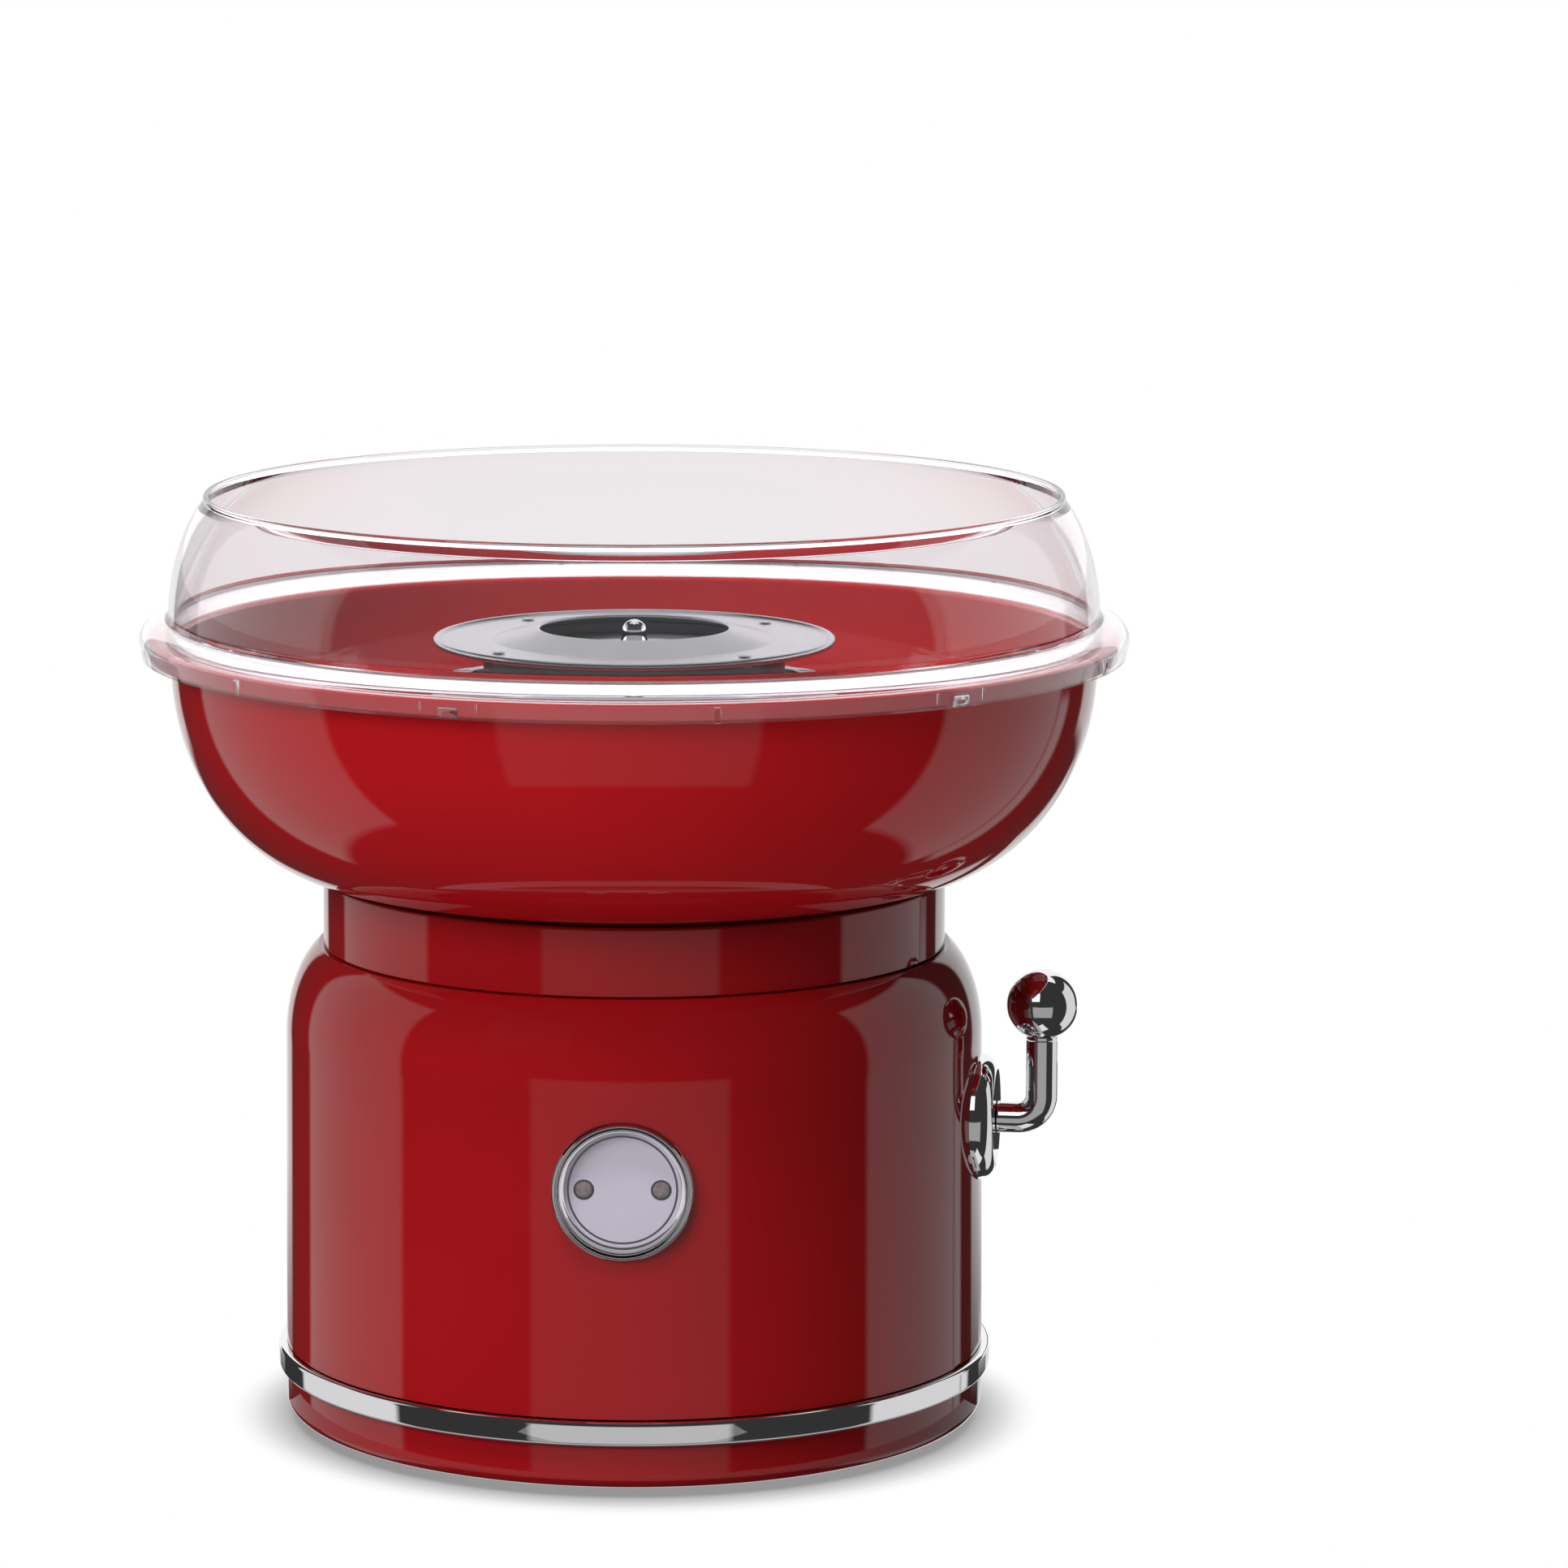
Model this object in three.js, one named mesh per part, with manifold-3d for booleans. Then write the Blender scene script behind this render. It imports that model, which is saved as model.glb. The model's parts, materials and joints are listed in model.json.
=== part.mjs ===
// A countertop cotton candy machine: a round casing with a lever switch on its side, a motor
// that spins a heated sugar head, a bowl that catches the floss and a clear guard on its rim.
// Millimetres, +Z up. The origin is on the floor under the middle of the feet, the dial faces
// -Y and the lever stands out towards +X.

import * as THREE from "three";
import { mergeVertices } from "three/addons/utils/BufferGeometryUtils.js";
import Module from "manifold-3d";

const wasm = await Module();
wasm.setup();

// Clearances
const seam = 0.3; // between two pieces that touch
const running = 0.08; // round a shaft that turns in its bore
const threadGap = 0.3; // round a screw in its hole
const past = 1; // how far a cut runs past a face, and a boss into the wall that it grows from

// Facets
const shellSides = 32;
const midSides = 24;
const smallSides = 12;
const pinSides = 8;

// Base, band and feet
const footHeight = 2.5; // how far a foot stands out below the base
const footRadius = 10.5;
const footBevel = 1.4;
const footSeat = 2; // how deep a foot sits in the base
const footInset = 23; // from the casing's side to a foot's middle
const footCount = 4;
const footStart = 45;
const baseHeight = 13.5;
const baseEdge = 4; // rounding of the base's lower edge
const baseFloor = 2.4;
const bandHeight = 7.5;
const bandProud = 2.4; // how far the band stands out from the casing
const bandEdge = 1;
const collarHeight = 8; // how far the base's collar reaches up inside the casing
const collarWall = 2.2;
const pillarRadius = 5.4;
const pillarHeight = 33.2;
const pillarMerge = 0.8; // how far a pillar sinks into the collar
const ventCount = 8;
const ventCircle = 46;
const ventLength = 22;
const ventWidth = 3;

// Screws that hold the base and the top cover
const screwHead = 3.4;
const screwHeadHeight = 2.4;
const screwShank = 1.6;
const baseScrewCount = 3;
const baseScrewStart = 60;
const baseScrewLength = 30;
const baseScrewDepth = 19.2; // from the base's underside to the head's seat
const coverScrewCount = 3;
const coverScrewStart = 30;
const coverScrewLength = 14;
const bossRadius = 4.6;
const bossWeb = 3; // thickness of the web that ties a boss to its wall
const bossTip = 2; // solid end of a blind boss
const casingBossHeight = 30;

// Casing
const bodyRadius = 107;
const bodyDraft = 0.6; // how much narrower the casing is at its shoulder
const bodyHeight = 123.5;
const bodyWall = 2.4;
const shoulderWidth = 18.05; // the shoulder is part of an ellipse with these half axes
const shoulderHeight = 31.1;
const shoulderTurn = 63.6; // degrees of that ellipse
const ledgeLand = 5.9; // from a cover screw's axis to the opening in the casing's top

// Neck and tower that carry the bowl and the drive
const neckStep = 1.5; // from the shoulder's upper edge in to the neck
const neckHeight = 21;
const neckEdge = 1;
const neckWall = 2.4;
const towerRadius = 48.6;
const towerWall = 2.4;

// Bowl
const bowlHeight = 73.2;
const bowlRadius = 140.4; // outside, just under the rim
const bowlFlat = 86.8; // radius of the flat bottom, where the outer curve starts
const bowlCurve = 65.6; // height of the curve above the flat bottom
const bowlWall = 2.6;
const rimWidth = 6.6;
const rimDepth = 4.7;
const rimEdge = 0.8;
const hubGap = 1; // between the bowl's hub and the tower
const hubTopBelowRim = 14;
const hubShoulder = 6.8; // width of the hub's flat top
const hubSleeve = 15; // how far the hub's sleeve reaches down the tower
const hubFoot = 70; // radius of the hub's cone where it meets the floor
const hubFillet = 4;

// Clear guard
const guardWall = 1.6;
const guardOverhang = 3; // from the bowl's rim out to the ridge of the flange
const skirtInset = 0.9; // from the ridge in to the skirt's lower edge
const skirtDrop = 5.2; // how far the skirt hangs below the bowl's rim
const ridgeDrop = 0.6;
const creaseInset = 5.8; // from the bowl's rim in to where the flange meets the wall
const creaseRise = 6.2;
const wallFoot = 2; // how far the wall's curve starts below the crease
const seatWidth = 2; // ring under the wall that rests on the bowl's rim
const guardBulgeWidth = 25.8; // the wall is part of an ellipse with these half axes
const guardBulgeHeight = 45.4;
const guardTurn = 55; // degrees of that ellipse
const lipBead = 1.3;
const ribCount = 6;
const ribWidth = 1.7;
const ribStart = 41; // degrees from +X towards +Y, as all azimuths here
const clipWidth = 6.2;
const clipHeight = 2.6;
const clipStart = 11;
const clipGap = 0.35; // between a rib or clip and the bowl's rim

// Spinning head
const discOverhang = 5.3; // from the drum's flange out to the disc's edge
const discSheet = 0.8;
const discBead = 1;
const discBelowRim = 1.6; // the disc's flat ring, below the bowl's rim
const coneInset = 1.8; // from the drum's side in to the foot of the disc's cone
const coneRise = 3.5;
const coneLip = 1.4; // width of the rounded lip round the hole
const holeRadius = 28.3;
const drumInset = 3.8; // between the drum and the bowl's hub
const drumWall = 1;
const drumHeight = 15;
const drumFlange = 10;
const flossGap = 0.4; // slot between disc and drum where the sugar flies out
const panDepth = 3.3;
const rivetInset = 9; // from the disc's edge in to a rivet
const rivetCount = 4;
const rivetStart = 41;
const rivetHead = 2;
const rivetHeadHeight = 0.8;
const rivetShank = 1;
const headHubRadius = 8;
const hubEdge = 0.6;
const hubBelowPin = 2.2; // from the drive pin's axis down to the hub's lower face
const studRadius = 3;
const nutRadius = 3.75;
const nutHeight = 10.3;
const nutFlare = 6.5;
const nutFlangeHeight = 1;
const nutNeckHeight = 4.6; // where the flare has narrowed to the nut's own radius
const nutRoof = 4.3; // from the stud's end to the top of the nut

// Heater under the head
const dishSheet = 0.8;
const dishGap = 0.9; // running gap between dish and drum
const dishDepth = 11.7;
const dishHole = 11;
const dishCorner = 4;
const dishRimInset = 0.4;
const heaterClear = 5.4; // between the heating ring and the drum's skirt
const heaterTube = 3.4;
const heaterBelowPan = 2.5;
const leadRadius = 1.6;
const leadSpread = 14; // degrees between the ring's two leads
const leadAzimuth = 150;
const leadGap = 1;
const postRadius = 4;
const postStud = 1.6;
const postCount = 3;
const postStart = 90;
const padHeight = 4; // pads on the tower's floor under the posts and the dish
const cutoutRadius = 6;
const cutoutHeight = 4;
const cutoutCircle = 22;
const tabOffset = 3;
const tabWidth = 2;
const tabSheet = 1;
const tabHeight = 3;

// Motor and its bracket
const floorWall = 2.4; // ring inside the tower that carries bracket and heater
const floorHole = 18;
const bracketSheet = 1.6;
const bracketInset = 5.2; // from the tower's inside to the bracket's edge
const bracketScrewInset = 7;
const bracketScrewCount = 2;
const bracketScrewStart = 0;
const bracketHead = 2.8;
const bracketHeadHeight = 2;
const motorRadius = 24;
const motorHeight = 50;
const motorWall = 1.4;
const motorEdge = 1;
const motorBoss = 7.6;
const motorBossHeight = 4.5;
const motorScrewCount = 2;
const motorScrewCircle = 13;
const motorScrewShank = 1.2;
const motorScrewHead = 2.3;
const motorScrewHeadHeight = 1.6;
const motorScrewReach = 1.5; // how far a motor screw reaches past the case's wall
const bushRadius = 5;
const bushLength = 7.5;
const bushInset = 0.2;
const endCapWall = 3;
const capInset = 1.2;
const shaftRadius = 3;
const shaftEdge = 0.5;
const shaftTail = 2.5; // shaft below the motor's end cap
const shaftBelowPan = 2;
const armatureRadius = 15;
const armatureLength = 26;
const armatureRise = 3; // how far the armature sits above the middle of the case
const armatureTeeth = 8;
const toothTip = 2;
const slotDepth = 7;
const commutatorRadius = 6.5;
const commutatorLength = 7;
const magnetThickness = 5;
const magnetGap = 0.5; // between a magnet and the case
const magnetSpan = 130; // degrees
const magnetExtra = 2; // how far a magnet reaches past each end of the armature
const magnetSteps = 10;
const pinRadius = 1;
const pinLength = 13;
const pinGap = 0.25;
const pinDrop = 8.7; // the pin's axis below the drum's pan

// Dial
const dialHeight = 68.5; // above the band
const dialAzimuth = -90;
const dialRadius = 20.6;
const dialProud = 1.9; // bezel in front of the casing
const dialRing = 2;
const dialEdge = 0.9;
const dialFlange = 6; // depth of the bezel's flange, before the casing's curve trims it
const dialRecess = 5.3; // face of the plate behind the bezel's front
const lensThickness = 1.4;
const lensInset = 1.4;
const plateThickness = 1.2;
const plateRadius = 17.3;
const plateLedge = 0.9; // width of the ledge that the plate sits on
const sleeveRadius = 19;
const sleeveLength = 12.5;
const dialNutWidth = 3.6;
const lampRadius = 2.5;
const lampOffset = 11.3;
const lampLength = 8;
const lampDome = 1;
const lampInset = 0.4;
const boardThickness = 1.6;
const lampBoardWidth = 11;
const lampBoardEdge = 4.5; // from a lamp's axis to the board's end
const nutThickness = 3;
const nutBack = 0.8; // from the casing's inside to a ring nut or bracket

// Lever switch
const leverHeight = 71.5; // above the band
const leverAzimuth = -6;
const leverTravel = 90; // degrees
const rosetteRadius = 19.4;
const rosetteProud = 5;
const rosetteEdge = 3.2;
const rosetteFlange = 9; // depth of the rosette's flange, before the casing's curve trims it
const stubRadius = 7;
const stubLength = 11;
const stubNutWidth = 4.5;
const armRadius = 4.8;
const armReach = 13.5; // from the rosette's face to the upright part's axis
const armBend = 7;
const armRise = 24.3;
const armSteps = 12;
const axleRadius = 4;
const axleSquare = 5.6;
const axleTail = 2; // square end past the cam
const ballRadius = 10.8;
const ballRise = 35.2; // the ball's centre above the axle
const ballNeck = 3.6;
const ballCollar = 0.6;
const ballStud = 2.2;
const ballStudLength = 8;
const ballSides = 20;
const camRadius = 9;
const camThickness = 5;
const camSteps = 30;
const camOverrun = 20; // degrees that the cam keeps rising past the lever's travel
const plungerTravel = 2;
const plungerRadius = 1.6;
const plungerOut = 2.7; // how far the plunger stands out of the switch
const plungerIn = 5; // how much of it is inside
const plungerDome = 1;
const switchLength = 28;
const switchWidth = 10;
const switchDepth = 16;
const switchPegRadius = 1.4;
const switchPegSpread = 9.5;
const switchPegOut = 1.5; // how far a peg comes through the bracket's shelf
const switchBracketSheet = 1.6;
const shelfMargin = 1; // shelf round the switch
const plateNarrowing = 4; // bracket's upright plate, narrower than the shelf on each side
const plateOverStub = 4; // and how far it reaches past the stub

// Cord gland at the back
const glandAzimuth = 90;
const glandHeight = 24; // above the band
const glandRadius = 9;
const glandSleeve = 6;
const glandBore = 3.6;
const glandIn = 7; // how far the gland reaches in from the casing's side
const glandFlangeIn = 2;
const glandFlangeOut = 2.4;
const glandBevel = 1.2;
const glandNose = 1.6; // wall at the end of the gland's nose
const glandNoseOut = 4.4;

// Board with the motor's rectifier, on the base
const boardLength = 54;
const boardWidth = 34;
const boardStandoff = 6;
const boardOffset = 30; // from the axis towards -X
const boardInset = 5; // from the board's corner to a peg
const pegFoot = 3.2;
const pegRadius = 1.4;
const pegOut = 2;
const diodeCount = 4;
const diodePitch = 8;
const diodeSize = [8, 3.2, 3];
const terminalSize = [7, 18, 9];
const terminalOffset = -10.5; // from the board's middle
const capacitorRadius = 5;
const capacitorHeight = 14;
const capacitorPlace = [11, -12];
const solder = 0.4; // how far a component sinks into the board

// Radii worked out from the sizes above
const bodyTopRadius = bodyRadius - bodyDraft;
const collarRadius = bodyRadius - bodyWall - seam;
const footCircle = bodyRadius - footInset;
const baseScrewCircle = collarRadius - collarWall - pillarRadius + pillarMerge;
const shoulderTopRadius = bodyTopRadius - shoulderWidth * (1 - Math.cos(radians(shoulderTurn)));
const neckRadius = shoulderTopRadius - neckStep;
const coverScrewCircle = neckRadius - neckWall - bossRadius;
const ledgeOpening = coverScrewCircle - ledgeLand;
const screwHole = screwShank + threadGap;
const towerInside = towerRadius - towerWall;
const hubInside = towerRadius + hubGap;
const drumRadius = hubInside - drumInset;
const flangeRadius = drumRadius + drumFlange;
const discRadius = flangeRadius + discOverhang;
const coneRadius = drumRadius - coneInset;
const bracketRadius = towerInside - bracketInset;
const bracketScrewCircle = bracketRadius - bracketScrewInset;
const rimRadius = bowlRadius + rimWidth;
const guardRadius = rimRadius + guardOverhang;
const creaseRadius = rimRadius - creaseInset;
const rivetCircle = discRadius - rivetInset;
const heaterCircle = drumRadius - drumWall - heaterClear - heaterTube;

// Heights worked out from the sizes above
const baseLow = footHeight;
const baseFloorTop = baseLow + baseFloor;
const bandLow = baseLow + baseHeight;
const bandTop = bandLow + bandHeight;
const pillarTop = baseLow + pillarHeight;
const baseScrewSeat = baseLow + baseScrewDepth;
const ledge = bandTop + bodyHeight;
const shoulderLow = ledge - shoulderHeight * Math.sin(radians(shoulderTurn));
const neckTop = ledge + neckHeight;
const bowlLow = neckTop + seam;
const rimTop = bowlLow + bowlHeight;
const discTop = rimTop - discBelowRim;
const drumTop = discTop - discSheet - flossGap;
const drumLow = drumTop - drumHeight;
const panTop = drumTop - panDepth;
const panLow = panTop - drumWall;
const studTop = panTop + nutHeight - nutRoof;
const shaftTop = panLow - shaftBelowPan;
const pinLevel = panLow - pinDrop;
const headHubLow = pinLevel - hubBelowPin;
const dishTop = drumLow - dishGap;
const dishLow = dishTop - dishDepth;
const dishFloor = dishLow + dishSheet;
const heaterLevel = panLow - heaterBelowPan - heaterTube;
const towerTop = dishTop - dishSheet - seam;
const floorTop = dishLow - seam - padHeight;
const floorLow = floorTop - floorWall;
const bracketTop = floorLow - seam;
const bracketLow = bracketTop - bracketSheet;
const motorTop = bracketLow - seam;
const motorLow = motorTop - motorHeight;
const armatureLow = (motorLow + motorTop - armatureLength) / 2 + armatureRise;
const dialMiddle = bandTop + dialHeight;
const leverAxle = bandTop + leverHeight;
const gland = bandTop + glandHeight;

// Levels of the dial and the lever, outward from the machine's axis
const dialFront = casingRadius(dialMiddle) + dialProud;
const dialBack = dialFront - sleeveLength;
const plateFront = dialFront - dialRecess;
const lensFront = dialFront - lensInset;
const lensBack = lensFront - lensThickness;
const rosetteBack = casingRadius(leverAxle);
const rosetteFace = rosetteBack + rosetteProud;
const uprightLevel = rosetteFace + armReach;
const stubEnd = rosetteBack - stubLength;
const bracketFront = insideLevel(leverAxle, stubRadius + stubNutWidth);
const bracketBack = bracketFront - switchBracketSheet;
const camFront = stubEnd - seam;
const camMiddle = camFront - camThickness / 2;
const axleEnd = camFront - camThickness - axleTail;

// Levels of the switch, upward from the lever's axle
const plungerTip = -camRadius - seam;
const switchTop = plungerTip - plungerOut;
const switchLow = switchTop - switchDepth;
const shelfTop = switchLow - seam;
const shelfLow = shelfTop - switchBracketSheet;

function radians(degrees) {
  return THREE.MathUtils.degToRad(degrees);
}

// Casing radius at a height below the shoulder
function casingRadius(height) {
  return bodyRadius - (bodyDraft * (height - bandTop)) / (shoulderLow - bandTop);
}

// Highest level at which a flat ring of a given radius, at a height, clears the casing's inside
function insideLevel(height, radius) {
  const inside = casingRadius(height + radius) - bodyWall;
  return Math.sqrt(inside ** 2 - radius ** 2) - nutBack;
}

// A geometry as one closed solid: corners shared, empty triangles dropped and faces outward
function closed(geometry) {
  const bare = new THREE.BufferGeometry();
  bare.setAttribute("position", geometry.getAttribute("position"));
  bare.setIndex(geometry.index);
  const merged = mergeVertices(bare, 1e-4);
  const corners = merged.index.array;
  const [a, b, c] = [new THREE.Vector3(), new THREE.Vector3(), new THREE.Vector3()];
  const faces = [];
  let volume = 0;
  for (let i = 0; i < corners.length; i += 3) {
    const face = [corners[i], corners[i + 1], corners[i + 2]];
    if (new Set(face).size < 3) continue;
    [a, b, c].forEach((point, k) => point.fromBufferAttribute(merged.attributes.position, face[k]));
    volume += a.dot(b.cross(c));
    faces.push(face);
  }
  merged.setIndex(faces.flatMap(([p, q, r]) => (volume < 0 ? [p, r, q] : [p, q, r])));
  return merged;
}

function toManifold(geometry) {
  const vertProperties = new Float32Array(geometry.attributes.position.array);
  const triVerts = new Uint32Array(geometry.index.array);
  return new wasm.Manifold(new wasm.Mesh({ numProp: 3, vertProperties, triVerts }));
}

function fromManifold(solid) {
  const mesh = solid.getMesh();
  const geometry = new THREE.BufferGeometry();
  geometry.setAttribute("position", new THREE.BufferAttribute(mesh.vertProperties, 3));
  geometry.setIndex(new THREE.BufferAttribute(mesh.triVerts, 1));
  return geometry;
}

function join(first, ...others) {
  return fromManifold(others.reduce((sum, one) => sum.add(toManifold(one)), toManifold(first)));
}

function cut(first, ...others) {
  const rest = others.reduce((left, one) => left.subtract(toManifold(one)), toManifold(first));
  return fromManifold(rest);
}

// A ring or a disc turned about Z from its outline in radius and height
function turned(outline, sides) {
  const points = outline.map(([radius, height]) => new THREE.Vector2(radius, height));
  const onAxis = points[0].x === 0 && points[points.length - 1].x === 0;
  if (!onAxis) points.push(points[0].clone());
  return closed(new THREE.LatheGeometry(points, sides).rotateX(Math.PI / 2));
}

// Points along part of an ellipse, for an outline
function arc(centre, halfAxes, fromDegrees, toDegrees, steps) {
  return Array.from({ length: steps + 1 }, (_, i) => {
    const turn = radians(fromDegrees + ((toDegrees - fromDegrees) * i) / steps);
    return [centre[0] + halfAxes[0] * Math.cos(turn), centre[1] + halfAxes[1] * Math.sin(turn)];
  });
}

// The rounded top of something turned, from its side up to the axis
function dome(radius, height, level, steps) {
  return [...arc([0, level], [radius, height], 0, 90, steps).slice(0, -1), [0, level + height]];
}

// A round bar along Z between two heights
function bar(radius, low, high, sides = smallSides) {
  const geometry = new THREE.CylinderGeometry(radius, radius, high - low, sides);
  return closed(geometry.rotateX(Math.PI / 2).translate(0, 0, (low + high) / 2));
}

// A tube along Z between two heights
function ring(outer, inner, low, high, sides = smallSides) {
  return turned([[inner, low], [outer, low], [outer, high], [inner, high]], sides);
}

// A box between two corners
function block(low, high) {
  const size = high.map((value, i) => value - low[i]);
  const middle = high.map((value, i) => (value + low[i]) / 2);
  return closed(new THREE.BoxGeometry(...size).translate(...middle));
}

// A box that stands on a level, about a place in X and Y
function standing([x, y], [length, width, height], low) {
  return block([x - length / 2, y - width / 2, low], [x + length / 2, y + width / 2, low + height]);
}

// A prism along Z from an outline in X and Y
function prism(outline, low, high, holes = []) {
  const shape = new THREE.Shape(outline.map(([x, y]) => new THREE.Vector2(x, y)));
  for (const hole of holes) {
    shape.holes.push(new THREE.Path(hole.map(([x, y]) => new THREE.Vector2(x, y))));
  }
  const settings = { depth: high - low, bevelEnabled: false };
  return closed(new THREE.ExtrudeGeometry(shape, settings).translate(0, 0, low));
}

// Outline of a circle in X and Y
function circle(radius, sides) {
  return around(sides, 0).map((turn) => [radius * Math.cos(radians(turn)), radius * Math.sin(radians(turn))]);
}

// The same geometry moved to a place on a circle about Z
function onCircle(geometry, radius, degrees) {
  return geometry.clone().translate(radius, 0, 0).rotateZ(radians(degrees));
}

// Angles of a pattern of equal steps round a circle
function around(count, start) {
  return Array.from({ length: count }, (_, i) => start + (360 * i) / count);
}

// Holes along Z on a circle
function holesAt(angles, circleRadius, holeRadius, low, high, sides = pinSides) {
  return angles.map((turn) => onCircle(bar(holeRadius, low - past, high + past, sides), circleRadius, turn));
}

// A pan-head screw with its shank upward from the head's underside at height zero
function screw(headRadius, headHeight, shankRadius, length) {
  const outline = [[0, -headHeight], [headRadius, -headHeight], [headRadius, 0], [shankRadius, 0],
    [shankRadius, length], [0, length]];
  return turned(outline, pinSides);
}

// A round boss on a circle, with a web out to the wall that it stands at
function webbedBoss(circleRadius, wallRadius, low, high, turn) {
  const web = block([circleRadius, -bossWeb / 2, low], [wallRadius + past, bossWeb / 2, high]);
  return join(onCircle(bar(bossRadius, low, high), circleRadius, turn), web.rotateZ(radians(turn)));
}

// Frame of something on the casing's side: X across, Y up and Z straight out
function sideFrame(azimuth, height) {
  const turn = radians(azimuth);
  const outward = new THREE.Vector3(Math.cos(turn), Math.sin(turn), 0);
  const up = new THREE.Vector3(0, 0, 1);
  const across = up.clone().cross(outward);
  return new THREE.Matrix4().makeBasis(across, up, outward).setPosition(0, 0, height);
}

// Materials
function material(color, roughness, metalness, extra = {}) {
  return new THREE.MeshStandardMaterial({ color, roughness, metalness, ...extra });
}

const redGloss = material(0xa3161a, 0.12, 0);
const chrome = material(0xd8dadc, 0.06, 1);
const clearPlastic = material(0xf2f0f2, 0.05, 0, { transparent: true, opacity: 0.3 });
const satinAluminium = material(0xa9aab0, 0.35, 1);
const darkSteel = material(0x4a4b50, 0.45, 1);
const steel = material(0xb4b6b8, 0.3, 1);
const rubber = material(0x1c1c1e, 0.85, 0);
const blackPlastic = material(0x222326, 0.5, 0);
const ceramic = material(0xe6e1d6, 0.6, 0);
const brass = material(0xb8934a, 0.3, 1);
const copper = material(0xb06a45, 0.35, 1);
const platePaint = material(0xb9b8c7, 0.45, 0);
const lampAmber = material(0x8c7468, 0.25, 0, { transparent: true, opacity: 0.85 });
const boardGreen = material(0x2f5a3c, 0.5, 0);
const ferrite = material(0x3c3d42, 0.7, 0);

const machine = new THREE.Group();

function add(name, geometry, finish, parent = machine) {
  const mesh = new THREE.Mesh(geometry, finish);
  mesh.name = name;
  parent.add(mesh);
}

// Copies of one piece at the angles of a pattern, numbered from 1
function addAround(name, geometry, finish, circleRadius, angles) {
  angles.forEach((turn, i) => add(`${name}_${i + 1}`, onCircle(geometry, circleRadius, turn), finish));
}

function sideGroup(azimuth, height) {
  const group = new THREE.Group();
  group.applyMatrix4(sideFrame(azimuth, height));
  machine.add(group);
  return group;
}

// Base pan, feet and band
const footAngles = around(footCount, footStart);
const baseScrewAngles = around(baseScrewCount, baseScrewStart);

function basePan() {
  const rim = bandLow - seam;
  const collarTop = bandTop + collarHeight;
  const collarInside = collarRadius - collarWall;
  const shell = turned(
    [[0, baseLow], ...arc([bodyRadius - baseEdge, baseLow + baseEdge], [baseEdge, baseEdge], -90, 0, 3),
      [bodyRadius, rim], [collarRadius, rim], [collarRadius, collarTop], [collarInside, collarTop],
      [collarInside, baseFloorTop], [0, baseFloorTop]],
    shellSides,
  );
  const pillar = bar(pillarRadius, baseFloorTop - past, pillarTop);
  const pillars = baseScrewAngles.map((turn) => onCircle(pillar, baseScrewCircle, turn));
  const boardSeat = baseFloorTop + boardStandoff;
  const standoff = join(
    bar(pegFoot, baseFloorTop - past, boardSeat, pinSides),
    bar(pegRadius, boardSeat - past, boardSeat + boardThickness + pegOut, pinSides),
  );
  const standoffs = boardHoles().map(([x, y]) => standoff.clone().translate(x, y, 0));
  const footSeats = footAngles.map((turn) =>
    onCircle(bar(footRadius + seam, baseLow - past, baseLow + footSeat), footCircle, turn));
  const headWays = baseScrewAngles.map((turn) =>
    onCircle(bar(screwHead + threadGap, baseLow - past, baseScrewSeat), baseScrewCircle, turn));
  const screwWays = holesAt(baseScrewAngles, baseScrewCircle, screwHole, baseScrewSeat, pillarTop);
  const vent = block(
    [-ventLength / 2, -ventWidth / 2, baseLow - past],
    [ventLength / 2, ventWidth / 2, baseFloorTop + past],
  );
  const vents = around(ventCount, 0).map((turn) => onCircle(vent, ventCircle, turn));
  return cut(join(shell, ...pillars, ...standoffs), ...footSeats, ...headWays, ...screwWays, ...vents);
}

function boardHoles() {
  const [x, y] = [boardWidth / 2 - boardInset, boardLength / 2 - boardInset];
  return [1, -1].map((side) => [-boardOffset + side * x, side * y]);
}

function foot() {
  const top = baseLow + footSeat - seam;
  return turned(
    [[0, 0], [footRadius - footBevel, 0], [footRadius, footBevel], [footRadius, top], [0, top]],
    smallSides,
  );
}

function band() {
  const outer = bodyRadius + bandProud;
  const inner = collarRadius + seam;
  return turned(
    [[inner, bandLow], [outer - bandEdge, bandLow], [outer, bandLow + bandEdge], [outer, bandTop - bandEdge],
      [outer - bandEdge, bandTop], [inner, bandTop]],
    shellSides,
  );
}

function baseScrew() {
  const piece = screw(screwHead, screwHeadHeight, screwShank, baseScrewLength);
  return piece.translate(0, 0, baseScrewSeat - seam);
}

add("base_pan", basePan(), redGloss);
add("chrome_band", band(), chrome);
addAround("foot", foot(), rubber, footCircle, footAngles);
addAround("base_screw", baseScrew(), steel, baseScrewCircle, baseScrewAngles);

// Casing
const coverScrewAngles = around(coverScrewCount, coverScrewStart);

// Outline of the casing's side up to a height on its shoulder, grown or shrunk evenly
function casingOutline(grow, top, steps) {
  const centre = [bodyTopRadius - shoulderWidth, shoulderLow];
  const halfAxes = [shoulderWidth + grow, shoulderHeight + grow];
  const turn = THREE.MathUtils.radToDeg(Math.asin((top - centre[1]) / halfAxes[1]));
  return [[bodyRadius + grow, bandTop + seam], ...arc(centre, halfAxes, 0, turn, steps)];
}

// A round bar straight through the casing's side, for a hole there
function sideBar(radius, azimuth, height, sides = smallSides) {
  const low = casingRadius(height) - bodyWall - radius;
  return bar(radius, low, bodyRadius + radius, sides).applyMatrix4(sideFrame(azimuth, height));
}

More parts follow.
